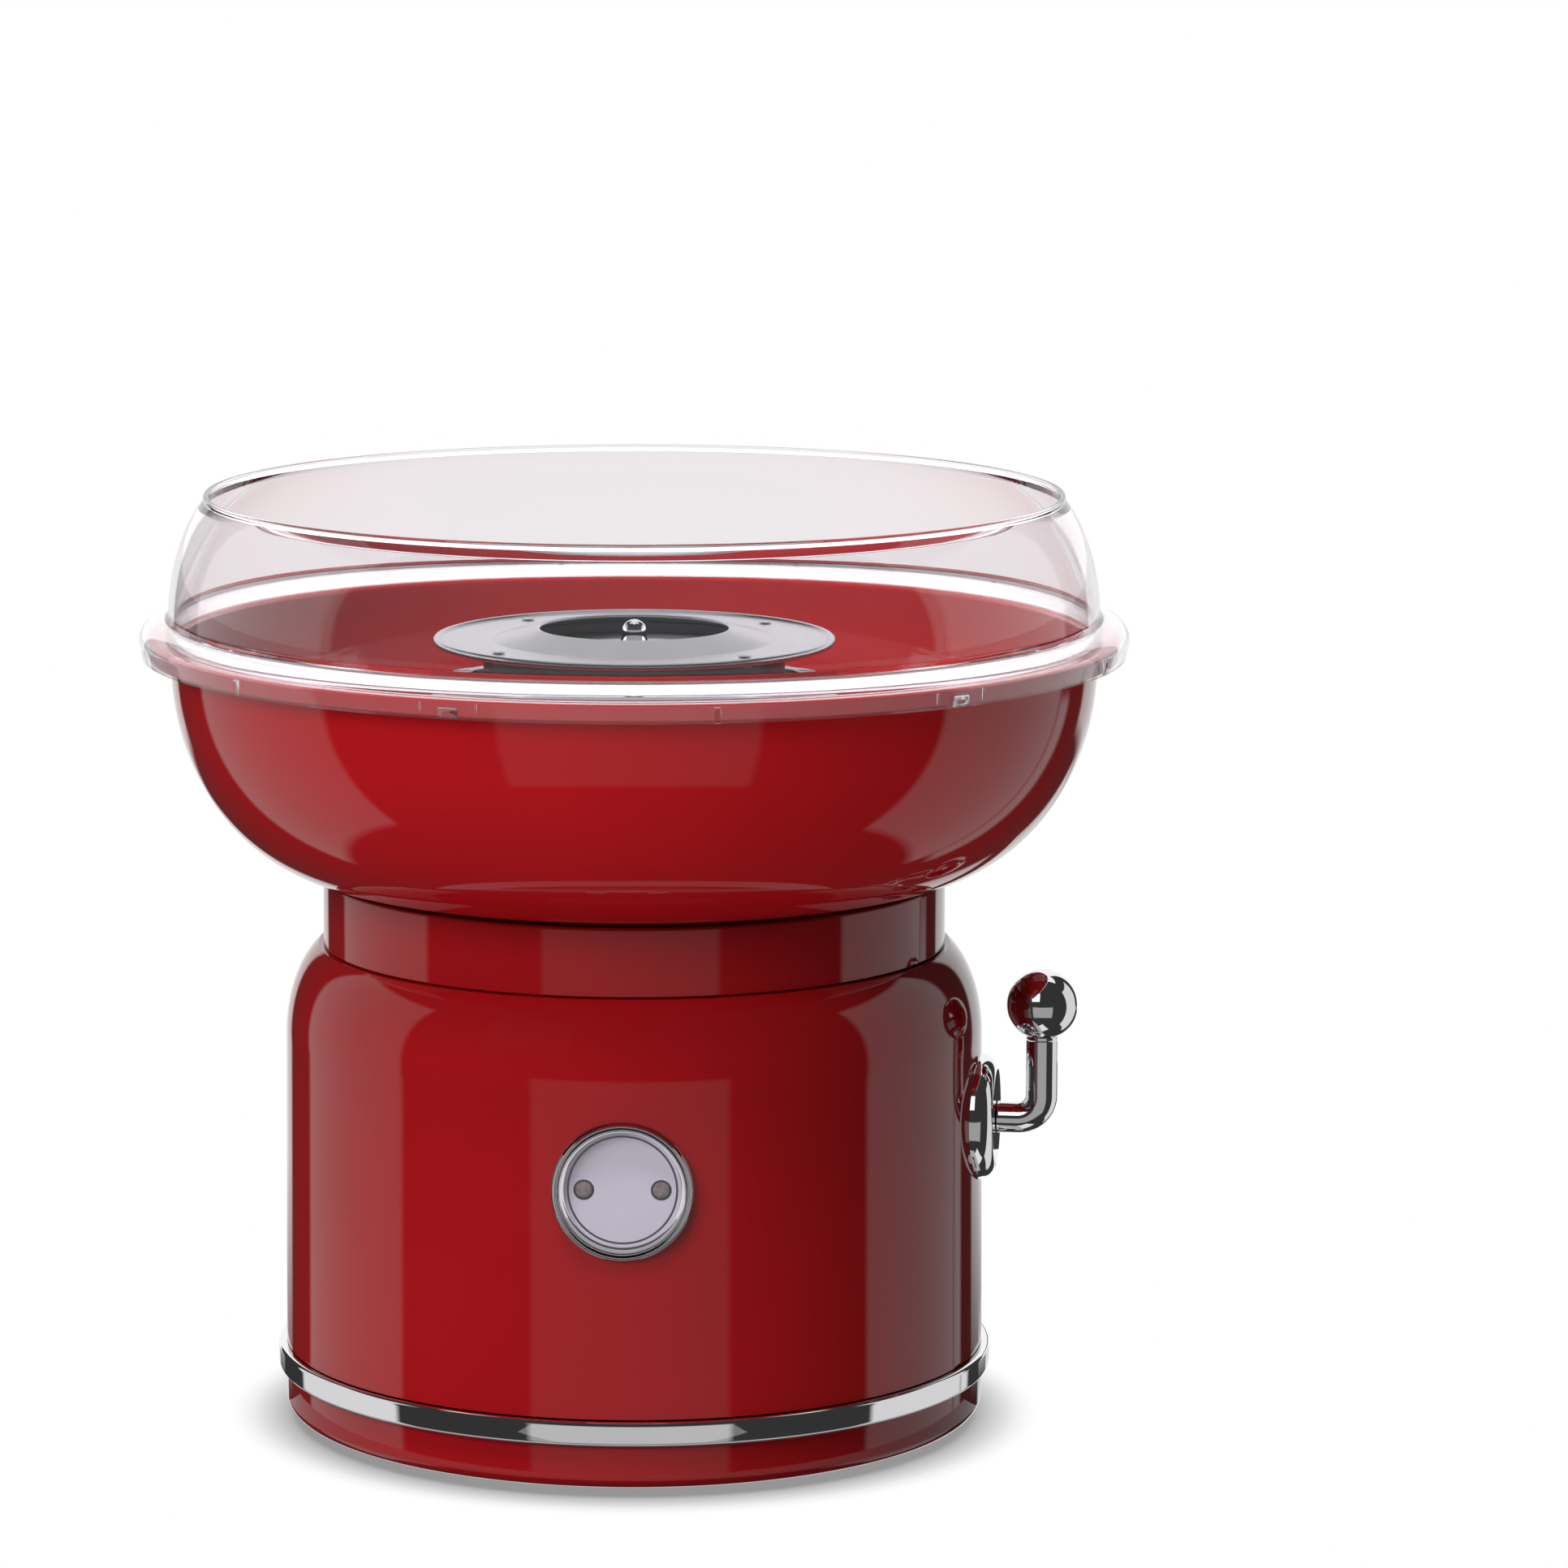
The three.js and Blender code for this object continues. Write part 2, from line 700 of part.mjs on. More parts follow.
function casing() {
  const inside = ledge - bodyWall;
  const shell = turned(
    [...casingOutline(0, ledge, 4), [ledgeOpening, ledge], [ledgeOpening, inside],
      ...casingOutline(-bodyWall, inside, 2).reverse()],
    shellSides,
  );
  const bossLow = pillarTop + seam;
  const bossHigh = bossLow + casingBossHeight;
  const wall = bodyTopRadius - bodyWall;
  const bosses = baseScrewAngles.map((turn) => webbedBoss(baseScrewCircle, wall, bossLow, bossHigh, turn));
  const bores = holesAt(baseScrewAngles, baseScrewCircle, screwHole, bossLow, bossHigh - bossTip - past);
  const coverHoles = holesAt(coverScrewAngles, coverScrewCircle, screwHole, inside, ledge);
  return cut(
    join(shell, ...bosses),
    ...bores,
    ...coverHoles,
    sideBar(sleeveRadius + seam, dialAzimuth, dialMiddle, midSides),
    sideBar(stubRadius + seam, leverAzimuth, leverAxle),
    sideBar(glandSleeve + seam, glandAzimuth, gland),
  );
}

// The space inside the casing's outer face, grown by the seam, in the frame of a piece on its side
function casingTrim(azimuth, height) {
  const solid = turned([[0, bandTop + seam], ...casingOutline(seam, ledge, 4), [0, ledge]], shellSides);
  return solid.applyMatrix4(sideFrame(azimuth, height).invert());
}

add("body_casing", casing(), redGloss);

// Neck, top plate and tower in one moulding
const bracketScrewAngles = around(bracketScrewCount, bracketScrewStart);
const postAngles = around(postCount, postStart);

function topCover() {
  const low = ledge + seam;
  const under = neckTop - neckWall;
  const neckInside = neckRadius - neckWall;
  const shell = turned(
    [[neckRadius, low], [neckRadius, neckTop - neckEdge], [neckRadius - neckEdge, neckTop],
      [towerRadius, neckTop], [towerRadius, towerTop], [towerInside, towerTop], [towerInside, floorTop],
      [floorHole, floorTop], [floorHole, floorLow], [towerInside, floorLow], [towerInside, under],
      [neckInside, under], [neckInside, low]],
    shellSides,
  );
  const bosses = coverScrewAngles.map((turn) =>
    webbedBoss(coverScrewCircle, neckInside, low, under + past, turn));
  const padTop = floorTop + padHeight;
  const pad = bar(bossRadius, floorTop - past, padTop);
  const pads = [
    ...bracketScrewAngles.map((turn) => onCircle(pad, bracketScrewCircle, turn)),
    ...postAngles.map((turn) => onCircle(pad, heaterCircle, turn)),
  ];
  return cut(
    join(shell, ...bosses, ...pads),
    ...holesAt(coverScrewAngles, coverScrewCircle, screwHole, low, under - 2 * past),
    ...holesAt(bracketScrewAngles, bracketScrewCircle, screwHole, floorLow, padTop),
    ...holesAt(postAngles, heaterCircle, postStud + threadGap, floorLow, padTop),
  );
}

function coverScrew() {
  const piece = screw(screwHead, screwHeadHeight, screwShank, coverScrewLength);
  return piece.translate(0, 0, ledge - bodyWall - seam);
}

add("top_cover", topCover(), redGloss);
addAround("cover_screw", coverScrew(), steel, coverScrewCircle, coverScrewAngles);

// Bowl with its hub
function bowl() {
  const curve = [bowlFlat, bowlLow + bowlCurve];
  const hubTop = rimTop - hubTopBelowRim;
  const hubUnder = hubTop - bowlWall - past;
  const hubLow = hubTop - hubSleeve;
  const hubOuter = hubInside + hubShoulder;
  const rimLow = rimTop - rimDepth;
  const bowlFloor = bowlLow + bowlWall;
  return turned(
    [[hubInside, hubLow], [hubInside, hubTop], [hubOuter - bowlWall / 2, hubTop],
      [hubOuter, hubTop - bowlWall / 2],
      [hubFoot, bowlFloor + hubFillet], [hubFoot + hubFillet, bowlFloor],
      ...arc(curve, [bowlRadius - bowlWall - bowlFlat, bowlCurve - bowlWall], -90, 0, 5),
      [bowlRadius - bowlWall, rimTop], [rimRadius - rimEdge, rimTop], [rimRadius, rimTop - rimEdge],
      [rimRadius, rimLow], [bowlRadius, rimLow],
      ...arc(curve, [bowlRadius - bowlFlat, bowlCurve], 0, -90, 6),
      [hubFoot - bowlWall, bowlLow], [hubOuter - bowlWall, hubUnder],
      [hubInside + bowlWall, hubUnder], [hubInside + bowlWall, hubLow]],
    shellSides,
  );
}

add("bowl", bowl(), redGloss);

// Clear guard: wall with a rolled lip, flange and skirt over the bowl's rim, ribs and clips
function guard() {
  const skirtLow = rimTop - skirtDrop;
  const ridge = rimTop - ridgeDrop;
  const crease = rimTop + creaseRise;
  const seat = rimTop + seam;
  const seatRadius = creaseRadius - guardWall + seatWidth;
  const skirtRadius = guardRadius - skirtInset;
  const skirtInside = skirtRadius - guardWall;
  const flangeCentre = [creaseRadius, ridge];
  const flange = [guardRadius - creaseRadius, crease - ridge];
  const flangeInside = [flange[0] - guardWall, flange[1] - guardWall];
  const bulgeCentre = [creaseRadius - guardBulgeWidth, crease - wallFoot];
  const bulgeInside = [guardBulgeWidth - guardWall, guardBulgeHeight - guardWall];
  const wall = arc(bulgeCentre, [guardBulgeWidth, guardBulgeHeight], 6, guardTurn, 3);
  const [wallRadius, wallTop] = wall[wall.length - 1];
  const lipCentre = [wallRadius - guardWall / 2, wallTop + lipBead / 2];
  const shell = turned(
    [[skirtRadius, skirtLow], [guardRadius, ridge],
      ...arc(flangeCentre, flange, 30, 90, 2),
      ...wall,
      ...arc(lipCentre, [lipBead, lipBead], 0, 180, 2),
      ...arc(bulgeCentre, bulgeInside, guardTurn - 2, 4, 3),
      [creaseRadius - guardWall, seat], [seatRadius, seat], [seatRadius, crease - guardWall],
      ...arc(flangeCentre, flangeInside, 70, 0, 2),
      [skirtInside, skirtLow]],
    shellSides,
  );
  const near = rimRadius + clipGap;
  const far = skirtRadius - guardWall / 2;
  const rib = block([near, -ribWidth / 2, skirtLow], [far, ribWidth / 2, ridge]);
  const clip = block([near, -clipWidth / 2, skirtLow], [far, clipWidth / 2, skirtLow + clipHeight]);
  return join(
    shell,
    ...around(ribCount, ribStart).map((turn) => rib.clone().rotateZ(radians(turn))),
    ...around(ribCount, clipStart).map((turn) => clip.clone().rotateZ(radians(turn))),
  );
}

add("clear_guard", guard(), clearPlastic);

// Spinning head: disc, drum with its sugar pan, hub, cap nut and rivets
const rivetAngles = around(rivetCount, rivetStart);
const rivetHole = rivetShank + threadGap;

function headDisc() {
  const under = discTop - discSheet;
  const beadCentre = [discRadius - discBead, under + discBead];
  const lip = discTop + coneRise;
  const disc = turned(
    [...arc(beadCentre, [discBead, discBead], -60, 150, 3), [discRadius - 2.5 * discBead, discTop],
      [coneRadius, discTop], [holeRadius + coneLip, lip], [holeRadius, lip - discSheet / 2],
      [holeRadius + discSheet, lip - discSheet], [coneRadius - seam, under], [discRadius - discBead, under]],
    shellSides,
  );
  return cut(disc, ...holesAt(rivetAngles, rivetCircle, rivetHole, under, discTop));
}

function headDrum() {
  const inner = drumRadius - drumWall;
  const flangeLow = drumTop - drumWall;
  const bore = studRadius + threadGap;
  const drum = turned(
    [[bore, panLow], [inner, panLow], [inner, drumLow], [drumRadius, drumLow], [drumRadius, flangeLow],
      [flangeRadius, flangeLow], [flangeRadius, drumTop], [inner, drumTop], [inner, panTop], [bore, panTop]],
    midSides,
  );
  return cut(drum, ...holesAt(rivetAngles, rivetCircle, rivetHole, flangeLow, drumTop));
}

function headHub() {
  const bore = shaftRadius + running;
  const top = panLow - seam;
  const hub = turned(
    [[0, shaftTop + seam], [bore, shaftTop + seam], [bore, headHubLow], [headHubRadius - hubEdge, headHubLow],
      [headHubRadius, headHubLow + hubEdge], [headHubRadius, top], [studRadius, top], [studRadius, studTop],
      [0, studTop]],
    midSides,
  );
  const slotHalf = pinRadius + seam;
  const slot = block(
    [-headHubRadius - past, -slotHalf, headHubLow - past],
    [headHubRadius + past, slotHalf, pinLevel + slotHalf],
  );
  return cut(hub, slot);
}

function capNut() {
  const low = panTop + seam;
  const bore = studRadius + threadGap;
  return turned(
    [[bore, low], [nutFlare, low], [nutFlare, low + nutFlangeHeight], [nutRadius, low + nutNeckHeight],
      ...dome(nutRadius, nutRadius, panTop + nutHeight - nutRadius, 4),
      [0, studTop + seam], [bore, studTop + seam]],
    smallSides,
  );
}

function rivet() {
  const top = discTop + seam;
  const low = drumTop - drumWall - seam;
  return turned(
    [[0, low - rivetHeadHeight], [rivetHead, low - rivetHeadHeight], [rivetHead, low], [rivetShank, low],
      [rivetShank, top], ...dome(rivetHead, rivetHeadHeight, top, 2)],
    pinSides,
  );
}

add("head_disc", headDisc(), satinAluminium);
add("head_drum", headDrum(), darkSteel);
add("head_hub", headHub(), steel);
add("cap_nut", capNut(), chrome);
addAround("rivet", rivet(), steel, rivetCircle, rivetAngles);

// Heater dish, heating ring, its posts and the thermal cut-out
const leadAngles = [leadAzimuth - leadSpread / 2, leadAzimuth + leadSpread / 2];

function heaterDish() {
  const wall = towerInside - seam;
  const flangeLow = dishTop - dishSheet;
  const flangeRadius = towerRadius - dishRimInset;
  const inside = wall - dishSheet;
  const dish = turned(
    [[dishHole, dishLow], [wall - dishCorner, dishLow], [wall, dishLow + dishCorner], [wall, flangeLow],
      [flangeRadius, flangeLow], [flangeRadius, dishTop], [inside, dishTop],
      [inside, dishFloor + dishCorner - dishSheet / 2], [inside - dishCorner + dishSheet / 2, dishFloor],
      [dishHole, dishFloor]],
    shellSides,
  );
  return cut(
    dish,
    ...holesAt(postAngles, heaterCircle, postStud + threadGap, dishLow, dishFloor),
    ...holesAt(leadAngles, heaterCircle, leadRadius + leadGap, dishLow, dishFloor),
  );
}

function heatingRing() {
  const tube = new THREE.TorusGeometry(heaterCircle, heaterTube, pinSides, midSides);
  const lead = bar(leadRadius, dishLow + seam, heaterLevel, pinSides);
  const leads = leadAngles.map((turn) => onCircle(lead, heaterCircle, turn));
  return join(closed(tube.translate(0, 0, heaterLevel)), ...leads);
}

function heaterPost() {
  const low = dishFloor + seam;
  const top = heaterLevel - heaterTube - seam;
  return turned(
    [[0, floorTop], [postStud, floorTop], [postStud, low], [postRadius, low], [postRadius, top], [0, top]],
    smallSides,
  );
}

function thermalCutout() {
  const low = dishFloor + seam;
  const top = low + cutoutHeight;
  const tabs = [1, -1].map((side) =>
    standing([side * tabOffset, 0], [tabWidth, tabSheet, past + tabHeight], top - past));
  return onCircle(join(bar(cutoutRadius, low, top), ...tabs), cutoutCircle, leadAzimuth);
}

add("heater_dish", heaterDish(), satinAluminium);
add("heating_ring", heatingRing(), darkSteel);
addAround("heater_post", heaterPost(), ceramic, heaterCircle, postAngles);
add("thermal_cutout", thermalCutout(), steel);

// Motor, its bracket and screws
const motorScrewAngles = around(motorScrewCount, 0);
const motorScrewHole = motorScrewShank + threadGap;

function motorBracket() {
  const plate = ring(bracketRadius, motorBoss + seam, bracketLow, bracketTop, midSides);
  return cut(
    plate,
    ...holesAt(bracketScrewAngles, bracketScrewCircle, screwHole, bracketLow, bracketTop),
    ...holesAt(motorScrewAngles, motorScrewCircle, motorScrewHole, bracketLow, bracketTop),
  );
}

function motorCase() {
  const inside = motorRadius - motorWall;
  const bossTop = motorTop + motorBossHeight;
  const under = motorTop - motorWall;
  const bore = bushRadius + seam;
  const can = turned(
    [[motorRadius, motorLow], [motorRadius, motorTop - motorEdge], [motorRadius - motorEdge, motorTop],
      [motorBoss, motorTop], [motorBoss, bossTop], [bore, bossTop], [bore, under], [inside, under],
      [inside, motorLow]],
    midSides,
  );
  return cut(can, ...holesAt(motorScrewAngles, motorScrewCircle, motorScrewHole, under, motorTop));
}

function motorEndCap() {
  const bore = shaftRadius + running;
  const rim = motorRadius - motorWall - seam;
  const low = motorLow + capInset;
  const high = low + endCapWall;
  const bearingTop = motorLow + bushLength;
  return turned(
    [[bore, low], [rim, low], [rim, high], [bushRadius, high], [bushRadius, bearingTop], [bore, bearingTop]],
    midSides,
  );
}

function topBush() {
  const high = motorTop + motorBossHeight - bushInset;
  return ring(bushRadius, shaftRadius + running, high - bushLength, high, midSides);
}

// Laminated core with its slots, and the commutator under it, pressed on the shaft as one
function armature() {
  const pitch = 360 / armatureTeeth;
  const slotShape = [[armatureRadius, -0.4], [armatureRadius, 0], [armatureRadius, 0.4],
    [armatureRadius - toothTip, 0.4], [armatureRadius - slotDepth, 0.5], [armatureRadius - toothTip, 0.6]];
  const outline = around(armatureTeeth, 0).flatMap((start) => slotShape.map(([radius, share]) => {
    const turn = radians(start + pitch * share);
    return [radius * Math.cos(turn), radius * Math.sin(turn)];
  }));
  const bore = circle(shaftRadius + seam, smallSides);
  const core = prism(outline, armatureLow, armatureLow + armatureLength, [bore]);
  const commutator = prism(
    circle(commutatorRadius, smallSides),
    armatureLow - commutatorLength,
    armatureLow + past,
    [bore],
  );
  return join(core, commutator);
}

function magnet() {
  const outer = motorRadius - motorWall - magnetGap;
  const inner = outer - magnetThickness;
  const half = magnetSpan / 2;
  const outline = [
    ...arc([0, 0], [outer, outer], -half, half, magnetSteps),
    ...arc([0, 0], [inner, inner], half, -half, magnetSteps),
  ];
  return prism(outline, armatureLow - magnetExtra, armatureLow + armatureLength + magnetExtra);
}

function motorShaft() {
  const low = motorLow - shaftTail;
  const narrow = shaftRadius - shaftEdge;
  const shaft = turned(
    [[0, low], [narrow, low], [shaftRadius, low + shaftEdge], [shaftRadius, shaftTop - shaftEdge],
      [narrow, shaftTop], [0, shaftTop]],
    midSides,
  );
  const crossHole = bar(pinRadius + pinGap, -shaftRadius - past, shaftRadius + past, pinSides);
  return cut(shaft, crossHole.rotateY(Math.PI / 2).translate(0, 0, pinLevel));
}

function drivePin() {
  const pin = bar(pinRadius, -pinLength / 2, pinLength / 2, pinSides);
  return pin.rotateY(Math.PI / 2).translate(0, 0, pinLevel);
}

function bracketScrew() {
  const piece = screw(bracketHead, bracketHeadHeight, screwShank, floorWall + bracketSheet + padHeight);
  return piece.translate(0, 0, bracketLow - seam);
}

function motorScrew() {
  const length = bracketSheet + motorWall + motorScrewReach;
  const piece = screw(motorScrewHead, motorScrewHeadHeight, motorScrewShank, length);
  return piece.rotateX(Math.PI).translate(0, 0, bracketTop + seam);
}

add("motor_bracket", motorBracket(), steel);
addAround("bracket_screw", bracketScrew(), steel, bracketScrewCircle, bracketScrewAngles);
add("motor_case", motorCase(), darkSteel);
add("motor_end_cap", motorEndCap(), blackPlastic);
addAround("motor_screw", motorScrew(), steel, motorScrewCircle, motorScrewAngles);
add("top_bush", topBush(), brass);
addAround("motor_magnet", magnet(), ferrite, 0, around(2, 90));
add("motor_shaft", motorShaft(), steel);
add("drive_pin", drivePin(), steel);
add("armature", armature(), copper);

// Dial on the front: bezel, ring nut, plate, lens, two lamps and their board
const dial = sideGroup(dialAzimuth, dialMiddle);
const lampBoardTop = plateFront - lampLength - seam;

function dialBezel() {
  const bore = dialRadius - dialRing;
  const seat = lensBack - seam;
  const plateSeat = plateFront - plateThickness - seam;
  const pocket = plateRadius + seam;
  const ledgeRadius = plateRadius - plateLedge;
  const flangeBack = dialFront - dialFlange;
  const bezel = turned(
    [[dialRadius, flangeBack], [dialRadius, dialFront - dialEdge], [dialRadius - dialEdge, dialFront],
      [bore, dialFront], [bore, seat], [pocket, seat], [pocket, plateSeat], [ledgeRadius, plateSeat],
      [ledgeRadius, dialBack], [sleeveRadius, dialBack], [sleeveRadius, flangeBack]],
    midSides,
  );
  const sleeveWay = bar(sleeveRadius, dialBack - past, dialFront + past, midSides);
  return cut(bezel, cut(casingTrim(dialAzimuth, dialMiddle), sleeveWay));
}

function ringNut(bore, width, top) {
  return ring(bore + width, bore + seam, top - nutThickness, top, midSides);
}

function dialPlate() {
  const low = plateFront - plateThickness;
  const holes = [1, -1].map((side) =>
    bar(lampRadius + seam, low - past, plateFront + past).translate(side * lampOffset, 0, 0));
  return cut(bar(plateRadius, low, plateFront, midSides), ...holes);
}

function lamp() {
  const low = plateFront - lampLength;
  const outline = [[0, low], [lampRadius, low], ...dome(lampRadius, lampDome, plateFront - lampInset, 2)];
  return turned(outline, smallSides);
}

function lampBoard() {
  const length = 2 * (lampOffset + lampBoardEdge);
  return standing([0, 0], [length, lampBoardWidth, boardThickness], lampBoardTop - boardThickness);
}

function dialNut() {
  return ringNut(sleeveRadius, dialNutWidth, insideLevel(dialMiddle, sleeveRadius + dialNutWidth));
}

function dialLens() {
  return bar(dialRadius - dialRing - seam, lensBack, lensFront, midSides);
}

add("dial_bezel", dialBezel(), chrome, dial);
add("dial_ring_nut", dialNut(), blackPlastic, dial);
add("dial_plate", dialPlate(), platePaint, dial);
add("dial_lens", dialLens(), clearPlastic, dial);
add("dial_lamp_1", lamp().translate(-lampOffset, 0, 0), lampAmber, dial);
add("dial_lamp_2", lamp().translate(lampOffset, 0, 0), lampAmber, dial);
add("lamp_board", lampBoard(), boardGreen, dial);

// Lever switch on the side: rosette, axle with arm, ball, cam and the switch under it
const lever = sideGroup(leverAzimuth, leverAxle);

function rosette() {
  const bore = axleRadius + running;
  const flangeLow = rosetteFace - rosetteFlange;
  const edgeCentre = [rosetteRadius - rosetteEdge, rosetteFace - rosetteEdge];
  const disc = turned(
    [[bore, stubEnd], [stubRadius, stubEnd], [stubRadius, flangeLow], [rosetteRadius, flangeLow],
      ...arc(edgeCentre, [rosetteEdge, rosetteEdge], 0, 90, 3), [bore, rosetteFace]],
    midSides,
  );
  const stubWay = bar(stubRadius, stubEnd - past, rosetteFace + past, midSides);
  return cut(disc, cut(casingTrim(leverAzimuth, leverAxle), stubWay));
}

// Bent arm with its axle, the square end that carries the cam and the stud that carries the ball
function leverArm() {
  const start = rosetteFace + seam;
  const bendHandle = armBend * 0.448; // makes the Bezier bend nearly circular
  const at = (y, z) => new THREE.Vector3(0, y, z);
  const path = new THREE.CurvePath();
  path.add(new THREE.LineCurve3(at(0, start), at(0, uprightLevel - armBend)));
  path.add(new THREE.CubicBezierCurve3(
    at(0, uprightLevel - armBend),
    at(0, uprightLevel - bendHandle),
    at(bendHandle, uprightLevel),
    at(armBend, uprightLevel),
  ));
  path.add(new THREE.LineCurve3(at(armBend, uprightLevel), at(armRise, uprightLevel)));
  const section = new THREE.Shape().absarc(0, 0, armRadius, 0, Math.PI * 2);
  const settings = { extrudePath: path, steps: armSteps, curveSegments: smallSides / 2 };
  const tube = closed(new THREE.ExtrudeGeometry(section, settings));
  const axle = bar(axleRadius, stubEnd, start + past);
  const square = standing([0, 0], [axleSquare, axleSquare, stubEnd + past - axleEnd], axleEnd);
  const stud = upright(bar(ballStud, armRise - past, armRise + ballStudLength, pinSides), uprightLevel);
  return join(tube, axle, square, stud);
}

// A piece made along Z, turned to stand up in the frame of the casing's side at an outward level
function upright(geometry, level) {
  return geometry.rotateX(-Math.PI / 2).translate(0, 0, level);
}

function leverBall() {
  const low = armRise + seam;
  const neckAngle = -THREE.MathUtils.radToDeg(Math.acos(ballNeck / ballRadius));
  const bore = ballStud + threadGap;
  const boreTop = armRise + ballStudLength + seam;
  const ball = turned(
    [[bore, low], [ballNeck + ballCollar, low],
      ...arc([0, ballRise], [ballRadius, ballRadius], neckAngle, 90, 8).slice(0, -1),
      [0, ballRise + ballRadius], [0, boreTop], [bore, boreTop]],
    ballSides,
  );
  return upright(ball, uprightLevel);
}

// How far the cam has lifted where it touches the plunger, as a share of the plunger's travel,
// when the lever has turned by some degrees. It grows evenly, so the travel follows the angle.
function camLift(turn) {
  const risen = leverTravel + camOverrun;
  if (turn <= risen) return turn / leverTravel;
  const fall = (turn - risen) / (360 - camOverrun - risen);
  return Math.max(0, 1 - fall);
}

function switchCam() {
  const outline = around(camSteps, 0).map((angle) => {
    const radius = camRadius + plungerTravel * camLift((630 - angle) % 360);
    return [radius * Math.cos(radians(angle)), radius * Math.sin(radians(angle))];
  });
  const half = axleSquare / 2 + seam;
  const square = [[-half, -half], [-half, half], [half, half], [half, -half]];
  return prism(outline, camFront - camThickness, camFront, [square]);
}

function switchPlunger() {
  const low = switchTop - plungerIn;
  const tip = dome(plungerRadius, plungerDome, plungerTip - plungerDome, 3);
  const outline = [[0, low], [plungerRadius, low], ...tip];
  return upright(turned(outline, pinSides), camMiddle);
}

function switchBody() {
  const near = camMiddle - switchWidth / 2;
  const body = block([-switchLength / 2, switchLow, near], [switchLength / 2, switchTop, near + switchWidth]);
  const wayLow = switchTop - plungerIn - plungerTravel - past;
  const way = upright(bar(plungerRadius + seam, wayLow, switchTop + past, pinSides), camMiddle);
  const pegs = [1, -1].map((side) =>
    upright(bar(switchPegRadius, shelfLow - switchPegOut, switchLow + past, pinSides), camMiddle)
      .translate(side * switchPegSpread, 0, 0));
  return cut(join(body, ...pegs), way);
}

function switchBracket() {
  const half = switchLength / 2 + shelfMargin;
  const plateHalf = half - plateNarrowing;
  const shelfBack = camMiddle - switchWidth / 2 - shelfMargin;
  const shelf = block([-half, shelfLow, shelfBack], [half, shelfTop, bracketFront]);
  const plateTop = stubRadius + plateOverStub;
  const plate = block([-plateHalf, shelfLow, bracketBack], [plateHalf, plateTop, bracketFront]);
  const stubHole = bar(stubRadius + seam, bracketBack - past, bracketFront + past);
  const pegHoles = [1, -1].map((side) =>
    upright(bar(switchPegRadius + seam, shelfLow - past, shelfTop + past, pinSides), camMiddle)
      .translate(side * switchPegSpread, 0, 0));
  return cut(join(shelf, plate), stubHole, ...pegHoles);
}

add("lever_rosette", rosette(), chrome, lever);
add("lever_arm", leverArm(), chrome, lever);
add("lever_ball", leverBall(), chrome, lever);
add("rosette_nut", ringNut(stubRadius, stubNutWidth, bracketBack - seam), steel, lever);
add("switch_cam", switchCam(), blackPlastic, lever);
add("switch_bracket", switchBracket(), steel, lever);
add("switch_body", switchBody(), blackPlastic, lever);
add("switch_plunger", switchPlunger(), ceramic, lever);

// Cord gland in the back of the casing
const rear = sideGroup(glandAzimuth, gland);

function cordGland() {
  const side = casingRadius(gland);
  const [inner, outer] = [side - glandIn, side + glandNoseOut];
  const body = turned(
    [[glandBore, inner], [glandSleeve, inner], [glandSleeve, side - glandFlangeIn],
      [glandRadius, side - glandFlangeIn], [glandRadius, side + glandFlangeOut],
      [glandRadius - glandBevel, side + glandFlangeOut + glandBevel / 2], [glandBore + glandNose, outer],
      [glandBore, outer]],
    midSides,
  );
  const sleeveWay = bar(glandSleeve, inner - past, outer + past, midSides);
  return cut(body, cut(casingTrim(glandAzimuth, gland), sleeveWay));
}

add("cord_gland", cordGland(), rubber, rear);

// Board with the motor's rectifier, on the base
function rectifierBoard() {
  const low = baseFloorTop + boardStandoff + seam;
  const top = low + boardThickness;
  const place = (x, y) => [-boardOffset + x, y];
  const board = standing(place(0, 0), [boardWidth, boardLength, boardThickness], low);
  const diodes = Array.from({ length: diodeCount }, (_, i) =>
    standing(place(0, (i - (diodeCount - 1) / 2) * diodePitch), diodeSize, top - solder));
  const terminals = standing(place(terminalOffset, 0), terminalSize, top - solder);
  const capacitor = bar(capacitorRadius, top - solder, top + capacitorHeight);
  capacitor.translate(...place(...capacitorPlace), 0);
  const holes = boardHoles().map(([x, y]) =>
    bar(pegRadius + seam, low - past, top + past, pinSides).translate(x, y, 0));
  return cut(join(board, ...diodes, terminals, capacitor), ...holes);
}

add("rectifier_board", rectifierBoard(), boardGreen);

export default machine;
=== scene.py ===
# Looks of a countertop cotton candy machine: gloss red mouldings, chrome trim, a clear guard
# and a spun metal head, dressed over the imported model. Sizes are in millimetres and angles in
# degrees, unless a comment says otherwise.

import json
import math

import bmesh
import bpy
from mathutils import Matrix, Vector

